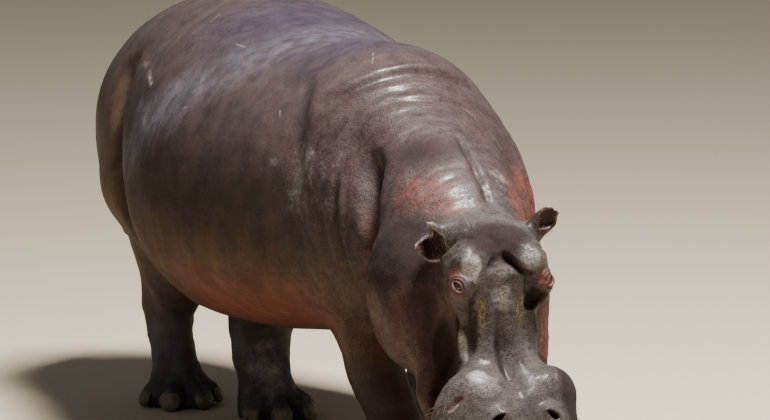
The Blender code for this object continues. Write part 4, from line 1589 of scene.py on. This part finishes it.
STROKES = (
    Stroke((0.64, 0.06, 1.27), (0.66, 0.12, 1.21), 0.006, 0.3),
    Stroke((0.66, 0.11, 1.22), (0.69, 0.19, 1.12), 0.006, 0.7),
    Stroke((0.93, -0.23, 1.15), (0.89, -0.19, 1.19), 0.003, 0.5),
    Stroke((0.355, -0.12, 1.43), (0.43, -0.16, 1.40), 0.003, 0.4),
    Stroke((0.51, -0.41, 1.14), (0.50, -0.43, 1.09), 0.009, 0.8, "rosy"),
    Stroke((0.49, -0.44, 1.06), (0.48, -0.45, 1.00), 0.006, 0.35),
    Stroke((-0.90, -0.37, 1.285), (-0.64, -0.45, 1.235), 0.034, 0.5, "rosy"),
    Stroke((-0.83, -0.42, 1.265), (-0.75, -0.43, 1.262), 0.020, 0.4),
    Stroke((-0.70, -0.45, 1.25), (-0.61, -0.48, 1.22), 0.016, 0.65),
    Stroke((-0.76, -0.42, 1.262), (-0.68, -0.45, 1.240), 0.012, 0.8, "blood"),
    Stroke((-0.90, -0.36, 1.29), (-0.60, -0.40, 1.31), 0.005, 0.4, "rosy"),
    Stroke((-0.62, -0.31, 1.405), (-0.65, -0.24, 1.44), 0.004, 0.4),
    Stroke((-0.57, -0.27, 1.42), (-0.60, -0.22, 1.445), 0.003, 0.3),
    Stroke((-0.16, 0.06, 1.42), (-0.14, 0.07, 1.42), 0.008, 0.6, "rosy"),
    Stroke((0.18, -0.39, 1.27), (0.22, -0.41, 1.22), 0.004, 0.35),
    Stroke((0.25, -0.41, 1.235), (0.30, -0.43, 1.17), 0.005, 0.3),
    Stroke((-0.23, -0.30, 1.375), (-0.32, -0.31, 1.385), 0.004, 0.35),
    Stroke((-0.25, -0.51, 1.19), (-0.32, -0.52, 1.16), 0.004, 0.3),
    Stroke((0.16, -0.53, 0.90), (0.20, -0.53, 0.87), 0.004, 0.3),
    Stroke((1.13, -0.44, 0.75), (1.15, -0.43, 0.79), 0.005, 0.5),
    Stroke((0.566, -0.226, -0.046), (0.546, -0.192, -0.018), 0.009, 0.6, on_head=True),
    Stroke((0.558, -0.228, -0.049), (0.533, -0.191, -0.018), 0.013, 1.0, "blood", True),
    Stroke((0.24, -0.27, -0.16), (0.21, -0.265, -0.14), 0.005, 0.4, on_head=True),
)


@dataclass(frozen=True)
class HideFinish:
    """Finish of the skin: thick bare hide, mottled and speckled, with rosy folds that painted shade darkens,
    and with patches of painted highlight, painted light, painted shade and painted reflection of the sky.
    """

    back: Point = (0.058, 0.041, 0.040)
    # bluish top of the back: the hide's purplish tone with a painted reflection of the sky over it
    spine_sheen: Point = (0.034, 0.027, 0.044)
    # painted reflection of the sky, laid as a band across the hip and the loin
    painted_sheen: Point = (0.100, 0.092, 0.112)
    # dark brown of the flank, made darker in part as painted shade of the side turned from the light
    flank: Point = (0.026, 0.015, 0.012)
    # olive low on the flank, in part a painted warm light bounced up from the ground
    olive: Point = (0.056, 0.028, 0.009)
    # lighter olive of the ham, in part painted light on it
    ham: Point = (0.088, 0.060, 0.040)
    # red of the belly, in part a painted warm light bounced up from the ground
    belly: Point = (0.120, 0.036, 0.023)
    neck: Point = (0.056, 0.036, 0.036)
    face: Point = (0.066, 0.055, 0.052)
    jowl: Point = (0.056, 0.022, 0.017)
    leg: Point = (0.044, 0.028, 0.027)
    foreleg: Point = (0.021, 0.010, 0.009)
    shin: Point = (0.062, 0.062, 0.072)
    rosy: Point = (0.140, 0.046, 0.035)
    # light colour of the scratches and the ear rims, and of the painted highlights and painted light
    pale: Point = (0.520, 0.480, 0.470)
    dirt: Point = (0.190, 0.150, 0.075)
    # colour of the specks and smears, and also of the painted shade
    dark: Point = (0.015, 0.008, 0.008)
    blood: Point = (0.090, 0.006, 0.006)
    lit: Point = (1.60, 1.55, 1.50)  # share of the ground colour in light and in dim clouds
    dim: Point = (0.50, 0.46, 0.46)
    shade: Point = (0.30, 0.18, 0.14)  # and in the folds

    def trunk_ground(self, tree: Tree, place: Socket, clouds: Socket, streaks: Socket) -> Socket:
        """Ground colour of the trunk: grey above, brown and olive on the flank, red below, with a painted
        bluish reflection of the sky along the top of the back and across the hip, and with painted shade and
        painted warm light in part of the flank, olive, ham and belly colours.

        Args:
            tree: Tree of the material.
            place: Object coordinates.
            clouds: Wide noise.
            streaks: Noise drawn out downwards.

        Returns:
            The colour.
        """
        y, z = tree.heights(place)
        wander = y + clouds * 0.2
        # darker below the back: the flank's colour, in part painted shade
        colour = tree.mixed((z + clouds * 0.30 - y * 0.1).ramp(0.98, 1.46), self.flank, self.back)
        # painted reflection of the sky, bluish along the top of the back
        spine_sheen = (z + clouds * 0.1).ramp(1.32, 1.52) * wander.ramp(-0.40, -0.10) * wander.ramp(0.85, 0.50)
        colour = tree.mixed(spine_sheen * 0.75, colour, self.spine_sheen)
        # painted reflection of the sky in a band from the hip up to the loin
        slope = z + y * 0.85 + clouds * 0.25 + streaks * 0.1
        band = slope.ramp(1.44, 1.64) * slope.ramp(1.88, 1.70) * z.ramp(0.80, 1.0)
        band = band * (1 - z.ramp(1.20, 1.40) * 0.4)
        colour = tree.mixed(band * (0.35 + streaks.ramp(0.35, 0.65) * 0.5), colour, self.painted_sheen)
        # olive low on the flank, in part painted warm light from the ground
        low = (z + clouds * 0.3).ramp(1.05, 0.85) * (0.5 + streaks.ramp(0.35, 0.7) * 0.5)
        colour = tree.mixed(low, colour, self.olive)
        # lighter ham, in part painted light
        behind = (wander + z * 0.1).ramp(1.00, 1.12) * (1 - z.ramp(1.05, 1.35)) * z.ramp(0.55, 0.75)
        colour = tree.mixed(behind * 0.8, colour, self.ham)
        # red belly, in part painted warm light from the ground
        under = (z + clouds * 0.16).ramp(0.86, 0.62) * wander.ramp(0.55, 0.15)
        return tree.mixed(under * (clouds * 0.1 - y).ramp(0.72, 0.45) * 0.8, colour, self.belly)

    def ground(self, tree: Tree, place: Socket, mottle: Socket) -> tuple[Socket, Socket]:
        """Ground colour of all regions.

        Args:
            tree: Tree of the material.
            place: Object coordinates.
            mottle: Noise of hand-wide clouds.

        Returns:
            The colour, and a mask of the front of the animal.
        """
        y, z = tree.heights(place)
        clouds = tree.noise(place, 2.3, 6)
        streaks = tree.noise(tree.stretched(place, (5, 5, 0.7)), 4.0, 6, 0.6)
        colour = self.trunk_ground(tree, place, clouds, streaks)
        front = (clouds * 0.2 - y).ramp(0.32, 0.75)
        limb = (z + clouds * 0.1).ramp(0.56, 0.44)
        limb = limb.most((y + clouds * 0.1).ramp(0.75, 0.95) * (z + clouds * 0.2).ramp(0.75, 0.50))
        colour = tree.mixed(limb, colour, tree.mixed(front, self.leg, self.foreleg))
        shin = (z + clouds * 0.1).ramp(0.46, 0.30) * (1 - front) * (0.35 + streaks.ramp(0.35, 0.65) * 0.65)
        colour = tree.mixed(shin * 0.8, colour, self.shin)
        colour = tree.mixed(front * z.ramp(0.75, 1.05), colour, self.neck)
        ahead = (clouds * 0.1 - y).ramp(1.0, 1.25)
        colour = tree.mixed(ahead, colour, self.face)
        jowl = ahead * (-1 * y).ramp(1.40, 1.20) * z.ramp(0.95, 0.78)
        colour = tree.mixed(jowl * 0.95, colour, self.jowl)
        lit = tree.mixed(1.0, colour, self.lit, "MULTIPLY")
        dim = tree.mixed(1.0, colour, self.dim, "MULTIPLY")
        colour = tree.mixed(mottle.ramp(0.45, 0.75) * 0.6, colour, lit)
        colour = tree.mixed(mottle.ramp(0.52, 0.28) * 0.6, colour, dim)
        return tree.mixed(streaks.ramp(0.55, 0.30) * 0.35, colour, dim), front

    def marked(self, tree: Tree, place: Socket, colour: Socket, edge: Socket, fray: Socket) -> Socket:
        """Colour with the rosy patches, the light patches of painted highlight and painted light, the
        light-coloured rims of the ears, dried dirt and scratches over it.

        Args:
            tree: Tree of the material.
            place: Object coordinates.
            colour: Colour of the ground.
            edge: Noise that breaks the patches' edges.
            fray: Fine noise that frays the scratches.

        Returns:
            The colour.
        """
        strips = tree.noise(tree.stretched(place, (1, 1, 0.3)), 34, 5, 0.6)
        rosy = (tree.attribute("rosy") * 1.15 - edge * 1.1 + 0.25).ramp(0.0, 0.75)
        rosy = rosy * (0.35 + strips.ramp(0.32, 0.55) * 0.65)
        colour = tree.mixed(rosy * 0.85, colour, self.rosy)
        # painted highlights and painted light in patches, and the ears' light-coloured rims
        pale = (tree.attribute("pale") * 1.1 - edge * 1.6 + 0.38).ramp(0.0, 0.75)
        colour = tree.mixed(pale * 0.5, colour, self.pale)
        strands = tree.noise(tree.stretched(place, (1, 1, 0.25)), 130, 6, 0.7)
        dirt = (tree.attribute("dirt") * 0.9 - strands * 1.5 + 0.28).ramp(0.0, 0.30)
        colour = tree.mixed(dirt * 0.8, colour, self.dirt)
        gaps = tree.noise(place, 60, 4, 0.7).ramp(0.38, 0.55)
        for stroke in STROKES:
            mark = tree.stroke(place, *stroke.ends, stroke.width, fray)
            colour = tree.mixed(mark * gaps * stroke.strength, colour, getattr(self, stroke.colour))
        return colour

    def darkened(self, tree: Tree, place: Socket, colour: Socket, front: Socket, painted_shade: Socket) -> Socket:
        """Colour with dark specks, blotches and smears, and with painted shade in patches, in the folds and
        in the recesses of the lids, the nostrils and the ears.

        Args:
            tree: Tree of the material.
            place: Object coordinates.
            colour: Colour under the specks.
            front: Mask of the front of the animal, which has most of them.
            painted_shade: Mask of the patches of painted shade.

        Returns:
            The colour.
        """
        scatter = tree.noise(place, 18, 4)
        speckle = (scatter * 0.75 - tree.cells(place, 150) - 0.02).ramp(-0.08, 0.10)
        colour = tree.mixed(speckle * (0.15 + front * 0.85) * 0.62, colour, self.dark)
        blotch = tree.noise(place, 55, 6, 0.65).ramp(0.50, 0.64)
        colour = tree.mixed(blotch * (0.2 + front * 0.8) * 0.45, colour, self.dark)
        smears = tree.noise(place, 26, 7, 0.72).ramp(0.52, 0.66)
        colour = tree.mixed(smears * front * 0.40, colour, self.dark)
        # painted shade in patches
        colour = tree.mixed(painted_shade * 0.85, colour, self.dark)
        # painted shade in the folds, darker and redder
        shade = tree.mixed(1.0, colour, self.shade, "MULTIPLY")
        colour = tree.mixed(tree.attribute("fold").ramp(0.10, 1.0) * 0.85, colour, shade)
        # painted shade in the recesses of the lids, the nostrils and the ears
        return tree.mixed(tree.attribute("inner").ramp(0, 0.8) * 0.9, colour, self.dark)

    def relief(self, tree: Tree, place: Socket, mottle: Socket, grain: Socket, front: Socket) -> Socket:
        """Normal of the hide: soft lumps under a fine net of cracks.

        Args:
            tree: Tree of the material.
            place: Object coordinates.
            mottle: Noise of hand-wide clouds.
            grain: Fine noise.
            front: Mask of the front of the animal, where the net is deepest.

        Returns:
            The bent normal.
        """
        crackle = tree.cells(tree.stretched(place, (1, 1, 0.3)), 42, "DISTANCE_TO_EDGE")
        fine = tree.cells(tree.stretched(place, (1, 1, 0.6)), 110, "DISTANCE_TO_EDGE")
        height = crackle.ramp(0.0, 0.14) * 0.16 + fine.ramp(0.0, 0.2) * 0.26 + grain * 0.7
        lumps = tree.bumped(mottle, 0.007, 0.4)
        return tree.bumped(height * (0.4 + front * 0.6), 0.0018, 0.8, lumps)

    def material(self) -> bpy.types.Material:
        """Builds the material.

        Returns:
            The material, which reads the fold, inner, rosy, pale, dirt and dusk values of the mesh; fold,
            inner and dusk darken as painted shade, and pale lightens as painted highlight and painted light.
        """
        tree = Tree("wet_hide")
        place = tree.place()
        mottle = tree.noise(place, 14, 8, 0.62)
        grain = tree.noise(place, 90, 6, 0.6)
        edge = tree.noise(place, 9, 8, 0.7)
        fray = tree.noise(place, 170, 6, 0.75)
        # mask of the patches of painted shade, where the coat is also taken away and the hide roughened
        painted_shade = (tree.attribute("painted_shade") * 1.1 - edge * 0.7 + 0.1).ramp(0.0, 0.6)
        colour, front = self.ground(tree, place, mottle)
        colour = self.marked(tree, place, colour, edge, fray)
        colour = self.darkened(tree, place, colour, front, painted_shade)
        z = tree.heights(place)[1]
        rough = 0.30 + grain * 0.22 + edge.ramp(0.4, 0.8) * 0.2 + painted_shade * 0.4 + z.ramp(1.15, 0.75) * 0.25
        wet = (z + mottle * 0.3).ramp(0.95, 1.35).most(front * z.ramp(0.2, 0.5) * 0.6) * (1 - painted_shade)
        beads = fray.ramp(0.50, 0.60)
        return tree.feed(Base_Color=colour, Roughness=rough + front * 0.08,
                         Normal=self.relief(tree, place, mottle, grain, front), Specular_IOR_Level=0.22,
                         Coat_Weight=wet * (0.10 + beads * 0.55), Coat_Roughness=0.24)


@dataclass(frozen=True)
class EyeFinish:
    """Wet brown eye with a dark pupil."""

    white: Point = (0.060, 0.022, 0.016)
    iris: Point = (0.028, 0.013, 0.008)
    pupil: Point = (0.003, 0.002, 0.002)

    def material(self) -> bpy.types.Material:
        """Builds the material.

        Returns:
            The material, which reads the gaze of the mesh: the angle from the eye's axis, in radians.
        """
        tree = Tree("wet_eye")
        gaze = tree.attribute("gaze")
        streaks = tree.noise(tree.place(), 400, 3)
        colour = tree.mixed((gaze + streaks * 0.05).ramp(0.62, 0.74), self.iris, self.white)
        colour = tree.mixed((gaze + streaks * 0.02).ramp(0.30, 0.26), colour, self.pupil)
        return tree.feed(Base_Color=colour, Roughness=0.06, Coat_Weight=1.0)


@dataclass(frozen=True)
class BristleFinish:
    """Stiff straw-coloured hair."""

    hair: Point = (0.300, 0.230, 0.120)
    old: Point = (0.110, 0.080, 0.050)

    def material(self) -> bpy.types.Material:
        """Builds the material."""
        tree = Tree("stiff_bristle")
        clouds = tree.noise(tree.place(), 60, 4)
        return tree.feed(Base_Color=tree.mixed(clouds.ramp(0.40, 0.62), self.hair, self.old), Roughness=0.4)


@dataclass(frozen=True)
class NailFinish:
    """Worn horn of the toenails, olive grey and streaked from root to edge."""

    horn: Point = (0.150, 0.140, 0.075)
    stain: Point = (0.040, 0.034, 0.026)
    streak: Point = (0.190, 0.165, 0.105)

    def material(self) -> bpy.types.Material:
        """Builds the material."""
        tree = Tree("toenail_horn")
        place = tree.place()
        streaks = tree.noise(tree.stretched(place, (1, 1, 0.12)), 120, 6)
        clouds = tree.noise(place, 22, 5)
        colour = tree.mixed(clouds.ramp(0.35, 0.7), self.stain, self.horn)
        colour = tree.mixed(streaks.ramp(0.45, 0.75) * 0.6, colour, self.streak)
        normal = tree.bumped(streaks, 0.0012, 0.8)
        return tree.feed(Base_Color=colour, Roughness=0.35 + clouds * 0.3, Normal=normal)


# ---------------------------------------------------------------- small pieces
@dataclass(frozen=True)
class Eyeball:
    """Eyeball with a slightly domed cornea."""

    side: Side
    segments: int = 48
    rings: int = 32
    dome: float = 0.045  # how far the cornea stands out, as a share of the radius
    dome_spread: float = 0.5  # radians

    def build(self, material: bpy.types.Material) -> bpy.types.Object:
        """Models the eyeball in its place.

        Args:
            material: Its finish.

        Returns:
            The finished piece.
        """
        growth = Lids().growth(self.side)
        bpy.ops.mesh.primitive_uv_sphere_add(segments=self.segments, ring_count=self.rings, radius=EYE_RADIUS,
                                             location=growth.centre, rotation=growth.turn.to_euler())
        obj = bpy.context.object
        obj.name = obj.data.name = f"eyeball_{self.side.word}"
        settle_origin(obj)
        gaze = obj.data.attributes.new("gaze", "FLOAT", "POINT")
        out = growth.turn.col[2]
        for vertex in obj.data.vertices:
            off = vertex.co - growth.centre
            angle = off.angle(out)
            gaze.data[vertex.index].value = angle
            vertex.co = growth.centre + off * (1 + self.dome * crest(angle, 0, self.dome_spread))
        bpy.ops.object.shade_smooth()
        obj.data.materials.append(material)
        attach(obj, "root")
        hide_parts(f"eye_{self.side.word}")
        log.info("%s done", obj.name)
        return obj


@dataclass(frozen=True)
class Toenail:
    """Domed nail that leans back against the toe and is flat where it meets the ground."""

    foot: str
    toe: int
    thickness: float = 0.62  # of its half height
    breadth: float = 1.08
    lean: float = 0.21  # how far the top leans back over its half height
    stand_off: float = 0.008  # how far it lies before its node's middle
    heel: float = 0.075  # how far the foot's middle lies behind the nails

    @staticmethod
    def heel_of(foot: str) -> Vector:
        """Middle of the foot, from which its nails spread."""
        nails = [middle_of(f"nail_{foot}_{toe}") for toe in TOES]
        ahead = Vector((0, 0, 1)).cross(nails[0] - nails[-1]).normalized()
        if ahead.y > 0:
            ahead = -ahead
        return sum(nails, Vector()) / len(nails) - ahead * Toenail.heel

    def build(self, material: bpy.types.Material) -> bpy.types.Object:
        """Models the nail over its node.

        Args:
            material: Its finish.

        Returns:
            The finished piece.
        """
        node = f"nail_{self.foot}_{self.toe}"
        low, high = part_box(node)
        middle = (low + high) / 2
        out = middle - self.heel_of(self.foot)
        out.z = 0
        out.normalize()
        bpy.ops.mesh.primitive_uv_sphere_add(segments=32, ring_count=20, radius=1.0)
        obj = bpy.context.object
        obj.name = obj.data.name = f"toenail_{self.foot}_{self.toe}"
        up = Vector((0, 0, 1))
        height = (high.z - low.z) / 2
        turn = Matrix((out, up.cross(out), up)).transposed().to_4x4()
        size = Matrix.Diagonal((height * self.thickness, height * self.breadth, height, 1))
        obj.data.transform(Matrix.Translation(middle) @ turn @ size)
        for vertex in obj.data.vertices:
            rise = (vertex.co.z - middle.z) / height
            vertex.co += out * (self.stand_off - self.lean * height * rise)
            vertex.co.z = max(vertex.co.z, low.z)
        bpy.ops.object.shade_smooth()
        obj.data.materials.append(material)
        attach(obj, "root")
        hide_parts(node)
        return obj


@dataclass(frozen=True)
class Bristles:
    """Stiff hairs of one region, joined to one mesh.

    Every hair is a closed tapering rod that stands out of the hide and leans its own way.
    """

    name: str
    slot: str
    where: Callable[[Surface], np.ndarray]
    count: int
    length: float
    radius: float
    lean: Point  # way the hairs lean: forward, left and up
    bend: float = 0.5  # how much of the lean shows at the root
    parts: int = 3
    taper: float = 0.85  # how much thinner the tip is
    curl: float = 0.5  # how far the hair turns to the lean on its way
    sunk: float = 0.002  # how deep the root sits in the hide
    patch: float = 0.003  # size of a hair in the map of the unwrapped hide
    seed: int = 1

    def roots(self, surface: Surface) -> tuple[np.ndarray, np.ndarray, random.Random]:
        """Picks the roots of the hairs.

        Args:
            surface: The finished hide.

        Returns:
            Places of the roots, the normals there, and the dice for what follows.
        """
        dice = random.Random(self.seed)
        weight = self.where(surface)
        order = sorted(np.nonzero(weight > 0)[0].tolist(), key=lambda i: dice.random() / weight[i])
        chosen = np.array(order[:self.count])
        return surface.points[chosen], surface.normals()[chosen], dice

    def unwrapped(self, root: Vector) -> tuple[float, float]:
        """Unrolls the hide round its own axis, the head's or the tail's.

        Args:
            root: Place of a hair's root.

        Returns:
            Its place on the unrolled hide.
        """
        width = 2.1 * math.pi  # a little over a full turn, so that no hair leaves the map
        if root.y > 0:
            low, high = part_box("tail")
            middle = (low + high) / 2
            turn = math.atan2(root.x - middle.x, middle.y - root.y)
            return 0.5 + turn / width, 0.02 + 0.2 * (root.z - low.z) / (high.z - low.z)
        along, left, above = HEAD.inverted() @ root
        turn = math.atan2(left, above + 0.16)
        return 0.5 + turn / width, 0.30 + 0.8 * max(0.0, along + 0.1) * 0.9

    def build(self, surface: Surface, material: bpy.types.Material) -> bpy.types.Object:
        """Builds the hairs.

        Args:
            surface: The finished hide.
            material: Finish of the hairs.

        Returns:
            The finished piece.
        """
        points, normals, dice = self.roots(surface)
        obj = object_of(self.name, bpy.data.meshes.new(self.name))
        bm = bmesh.new()
        uv = bm.loops.layers.uv.new("OFBake")
        lean = way(*self.lean)
        for point, normal in zip(points, normals):
            root, out = Vector(point), Vector(normal)
            jitter = Vector([dice.uniform(-0.3, 0.3) for _ in range(3)])
            heading = (out * (1 - self.bend) + lean * self.bend + jitter).normalized()
            length = self.length * dice.uniform(0.55, 1.1)
            self.rod(bm, uv, root - out * self.sunk, heading, lean, length)
        bm.to_mesh(obj.data)
        bm.free()
        facing_out(obj)
        obj.data.materials.append(material)
        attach(obj, "root")
        log.info("%s done: %d hairs", self.name, len(points))
        return obj

    def rod(self, bm: bmesh.types.BMesh, uv: bmesh.types.BMLayerItem, root: Vector, heading: Vector,
            lean: Vector, length: float) -> None:
        """Adds one hair.

        Args:
            bm: Mesh of the hairs.
            uv: Its map.
            root: Middle of the hair's foot.
            heading: Way it leaves the hide.
            lean: Way it curves to.
            length: Its length.
        """
        u0, v0 = self.unwrapped(root)
        aside = heading.orthogonal().normalized()
        up = heading.cross(aside)
        place = root.copy()
        loops = []
        for step in range(self.parts + 1):
            share = step / self.parts
            thick = self.radius * (1 - self.taper * share)
            ring = []
            for corner in range(3):
                turn = corner * 2 * math.pi / 3
                ring.append(bm.verts.new(place + (aside * math.cos(turn) + up * math.sin(turn)) * thick))
            loops.append(ring)
            onward = (heading * (1 - self.curl * share) + lean * self.curl * share).normalized()
            place = place + onward * length / self.parts
        faces = [(loops[0][2], loops[0][1], loops[0][0]), tuple(loops[-1])]
        for low, high in zip(loops, loops[1:]):
            faces += [(low[i], low[(i + 1) % 3], high[(i + 1) % 3], high[i]) for i in range(3)]
        corners = {vertex: (u0 + self.patch * (i / 2 - 0.5), v0 + self.patch * (step / self.parts - 0.5))
                   for step, ring in enumerate(loops) for i, vertex in enumerate(ring)}
        for face in faces:
            for loop in bm.faces.new(face).loops:
                loop[uv].uv = corners[loop.vert]


def on_lips(s: Surface) -> np.ndarray:
    """The lips and the chin."""
    head = s.in_head()
    return box_mask(head, (0.53, -0.3, -0.30), (0.85, 0.3, -0.055), 0.02) * (head[:, 2] < -0.05)


def on_ear_rims(s: Surface) -> np.ndarray:
    """The ears, with a few hairs on the crown between them."""
    near = np.zeros(s.count)
    for side in Side:
        near = np.maximum(near, s.near(EarShape.root_of(side), 0.13))
    head = s.in_head()
    return near * (abs(head[:, 1]) > 0.06) * (head[:, 2] > -0.10)


def on_tail_tip(s: Surface) -> np.ndarray:
    """The end of the tail."""
    low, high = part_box("tail")
    behind = s.points[:, 1] > low.y + 0.04
    return behind * smoothstep(low.z + 0.12, low.z + 0.02, s.points[:, 2])


BRISTLES = (
    Bristles("bristles_lips", "head_hide", on_lips, 420, 0.034, 0.0007, (0.5, 0.0, -0.8), seed=3),
    Bristles("bristles_ears", "ear_hide", on_ear_rims, 420, 0.016, 0.0006, (0.0, 0.0, 1.0), 0.2, seed=5),
    Bristles("bristles_tail", "tail_hide", on_tail_tip, 130, 0.050, 0.0009, (0.0, 0.0, -1.0), 0.8, seed=7),
)


# ---------------------------------------------------------------- studio
@dataclass(frozen=True)
class Studio:
    """Floor, lights and camera."""

    azimuth: float = -27.0  # degrees; negative is to the animal's right
    elevation: float = 9.5
    distance: float = 22.0
    aim: Point = (-0.8430, 0.5338, 0.6700)  # forward, left and up
    lens: float = 292.2
    floor_colour: Point = (0.57, 0.48, 0.36)
    floor_size: float = 90.0
    key_power: float = 2200.0  # watts
    fill_power: float = 45.0
    sky_strength: float = 0.14
    target: Point = (0.0, -0.4, 0.8)  # place in the frame that the lights shine on

    def view_axis(self) -> Vector:
        """Way from the aim to the camera."""
        a, e = math.radians(self.azimuth), math.radians(self.elevation)
        return Vector((math.sin(a) * math.cos(e), -math.cos(a) * math.cos(e), math.sin(e)))

    def camera(self) -> None:
        """Sets the camera up."""
        data = bpy.data.cameras.new("camera")
        data.lens = self.lens
        data.sensor_width = 36.0
        data.clip_end = 200.0
        obj = object_of("camera", data)
        obj.location = at(*self.aim) + self.view_axis() * self.distance
        obj.rotation_euler = (-self.view_axis()).to_track_quat("-Z", "Y").to_euler()
        bpy.context.scene.camera = obj

    def lamp(self, name: str, place: Vector, target: Vector, size: float, power: float,
             colour: Point) -> None:
        """Adds a square soft light.

        Args:
            name: Its name.
            place: Where it hangs.
            target: What it shines on.
            size: Length of its side.
            power: Its power in watts.
            colour: Its tint.
        """
        data = bpy.data.lights.new(name, "AREA")
        data.energy = power
        data.size = size
        data.color = colour
        obj = object_of(name, data)
        obj.location = place
        obj.rotation_euler = (target - place).to_track_quat("-Z", "Y").to_euler()

    def build(self) -> None:
        """Builds all of it."""
        self.camera()
        bpy.ops.mesh.primitive_plane_add(size=self.floor_size, location=(0, 20, 0))
        floor = bpy.context.object
        floor.name = "floor"
        tree = Tree("pale_floor")
        floor.data.materials.append(tree.feed(Base_Color=(*self.floor_colour, 1), Roughness=0.9))
        middle = Vector(self.target)
        up = Vector((0, 0, 1))
        ahead = self.view_axis()
        right = up.cross(ahead)
        over = middle + right * 1.6 + ahead * 1.3 + up * 6.6
        self.lamp("key", over, middle, 1.8, self.key_power, (1.0, 0.97, 0.93))
        beside = middle - right * 4 + ahead * 7 + up * 2.0
        self.lamp("fill", beside, middle, 5.0, self.fill_power, (1.0, 0.96, 0.92))
        world = bpy.data.worlds.new("world")
        world.use_nodes = True
        sky = world.node_tree.nodes["Background"]
        sky.inputs["Color"].default_value = (0.95, 0.97, 1.0, 1)
        sky.inputs["Strength"].default_value = self.sky_strength
        bpy.context.scene.world = world


# ---------------------------------------------------------------- building
def main() -> None:
    """Builds the scene piece by piece."""
    logging.basicConfig(level=logging.INFO, format="%(name)s: %(message)s")
    hide = Hide()
    hide.build()
    bristle_material = BristleFinish().material()
    for bristles in BRISTLES:
        bristles.build(hide.surface, bristle_material)
    eye_material = EyeFinish().material()
    for side in Side:
        Eyeball(side).build(eye_material)
    nail_material = NailFinish().material()
    for foot in FEET:
        for toe in TOES:
            Toenail(foot, toe).build(nail_material)
    Studio().build()


if __name__ == "__main__":
    main()
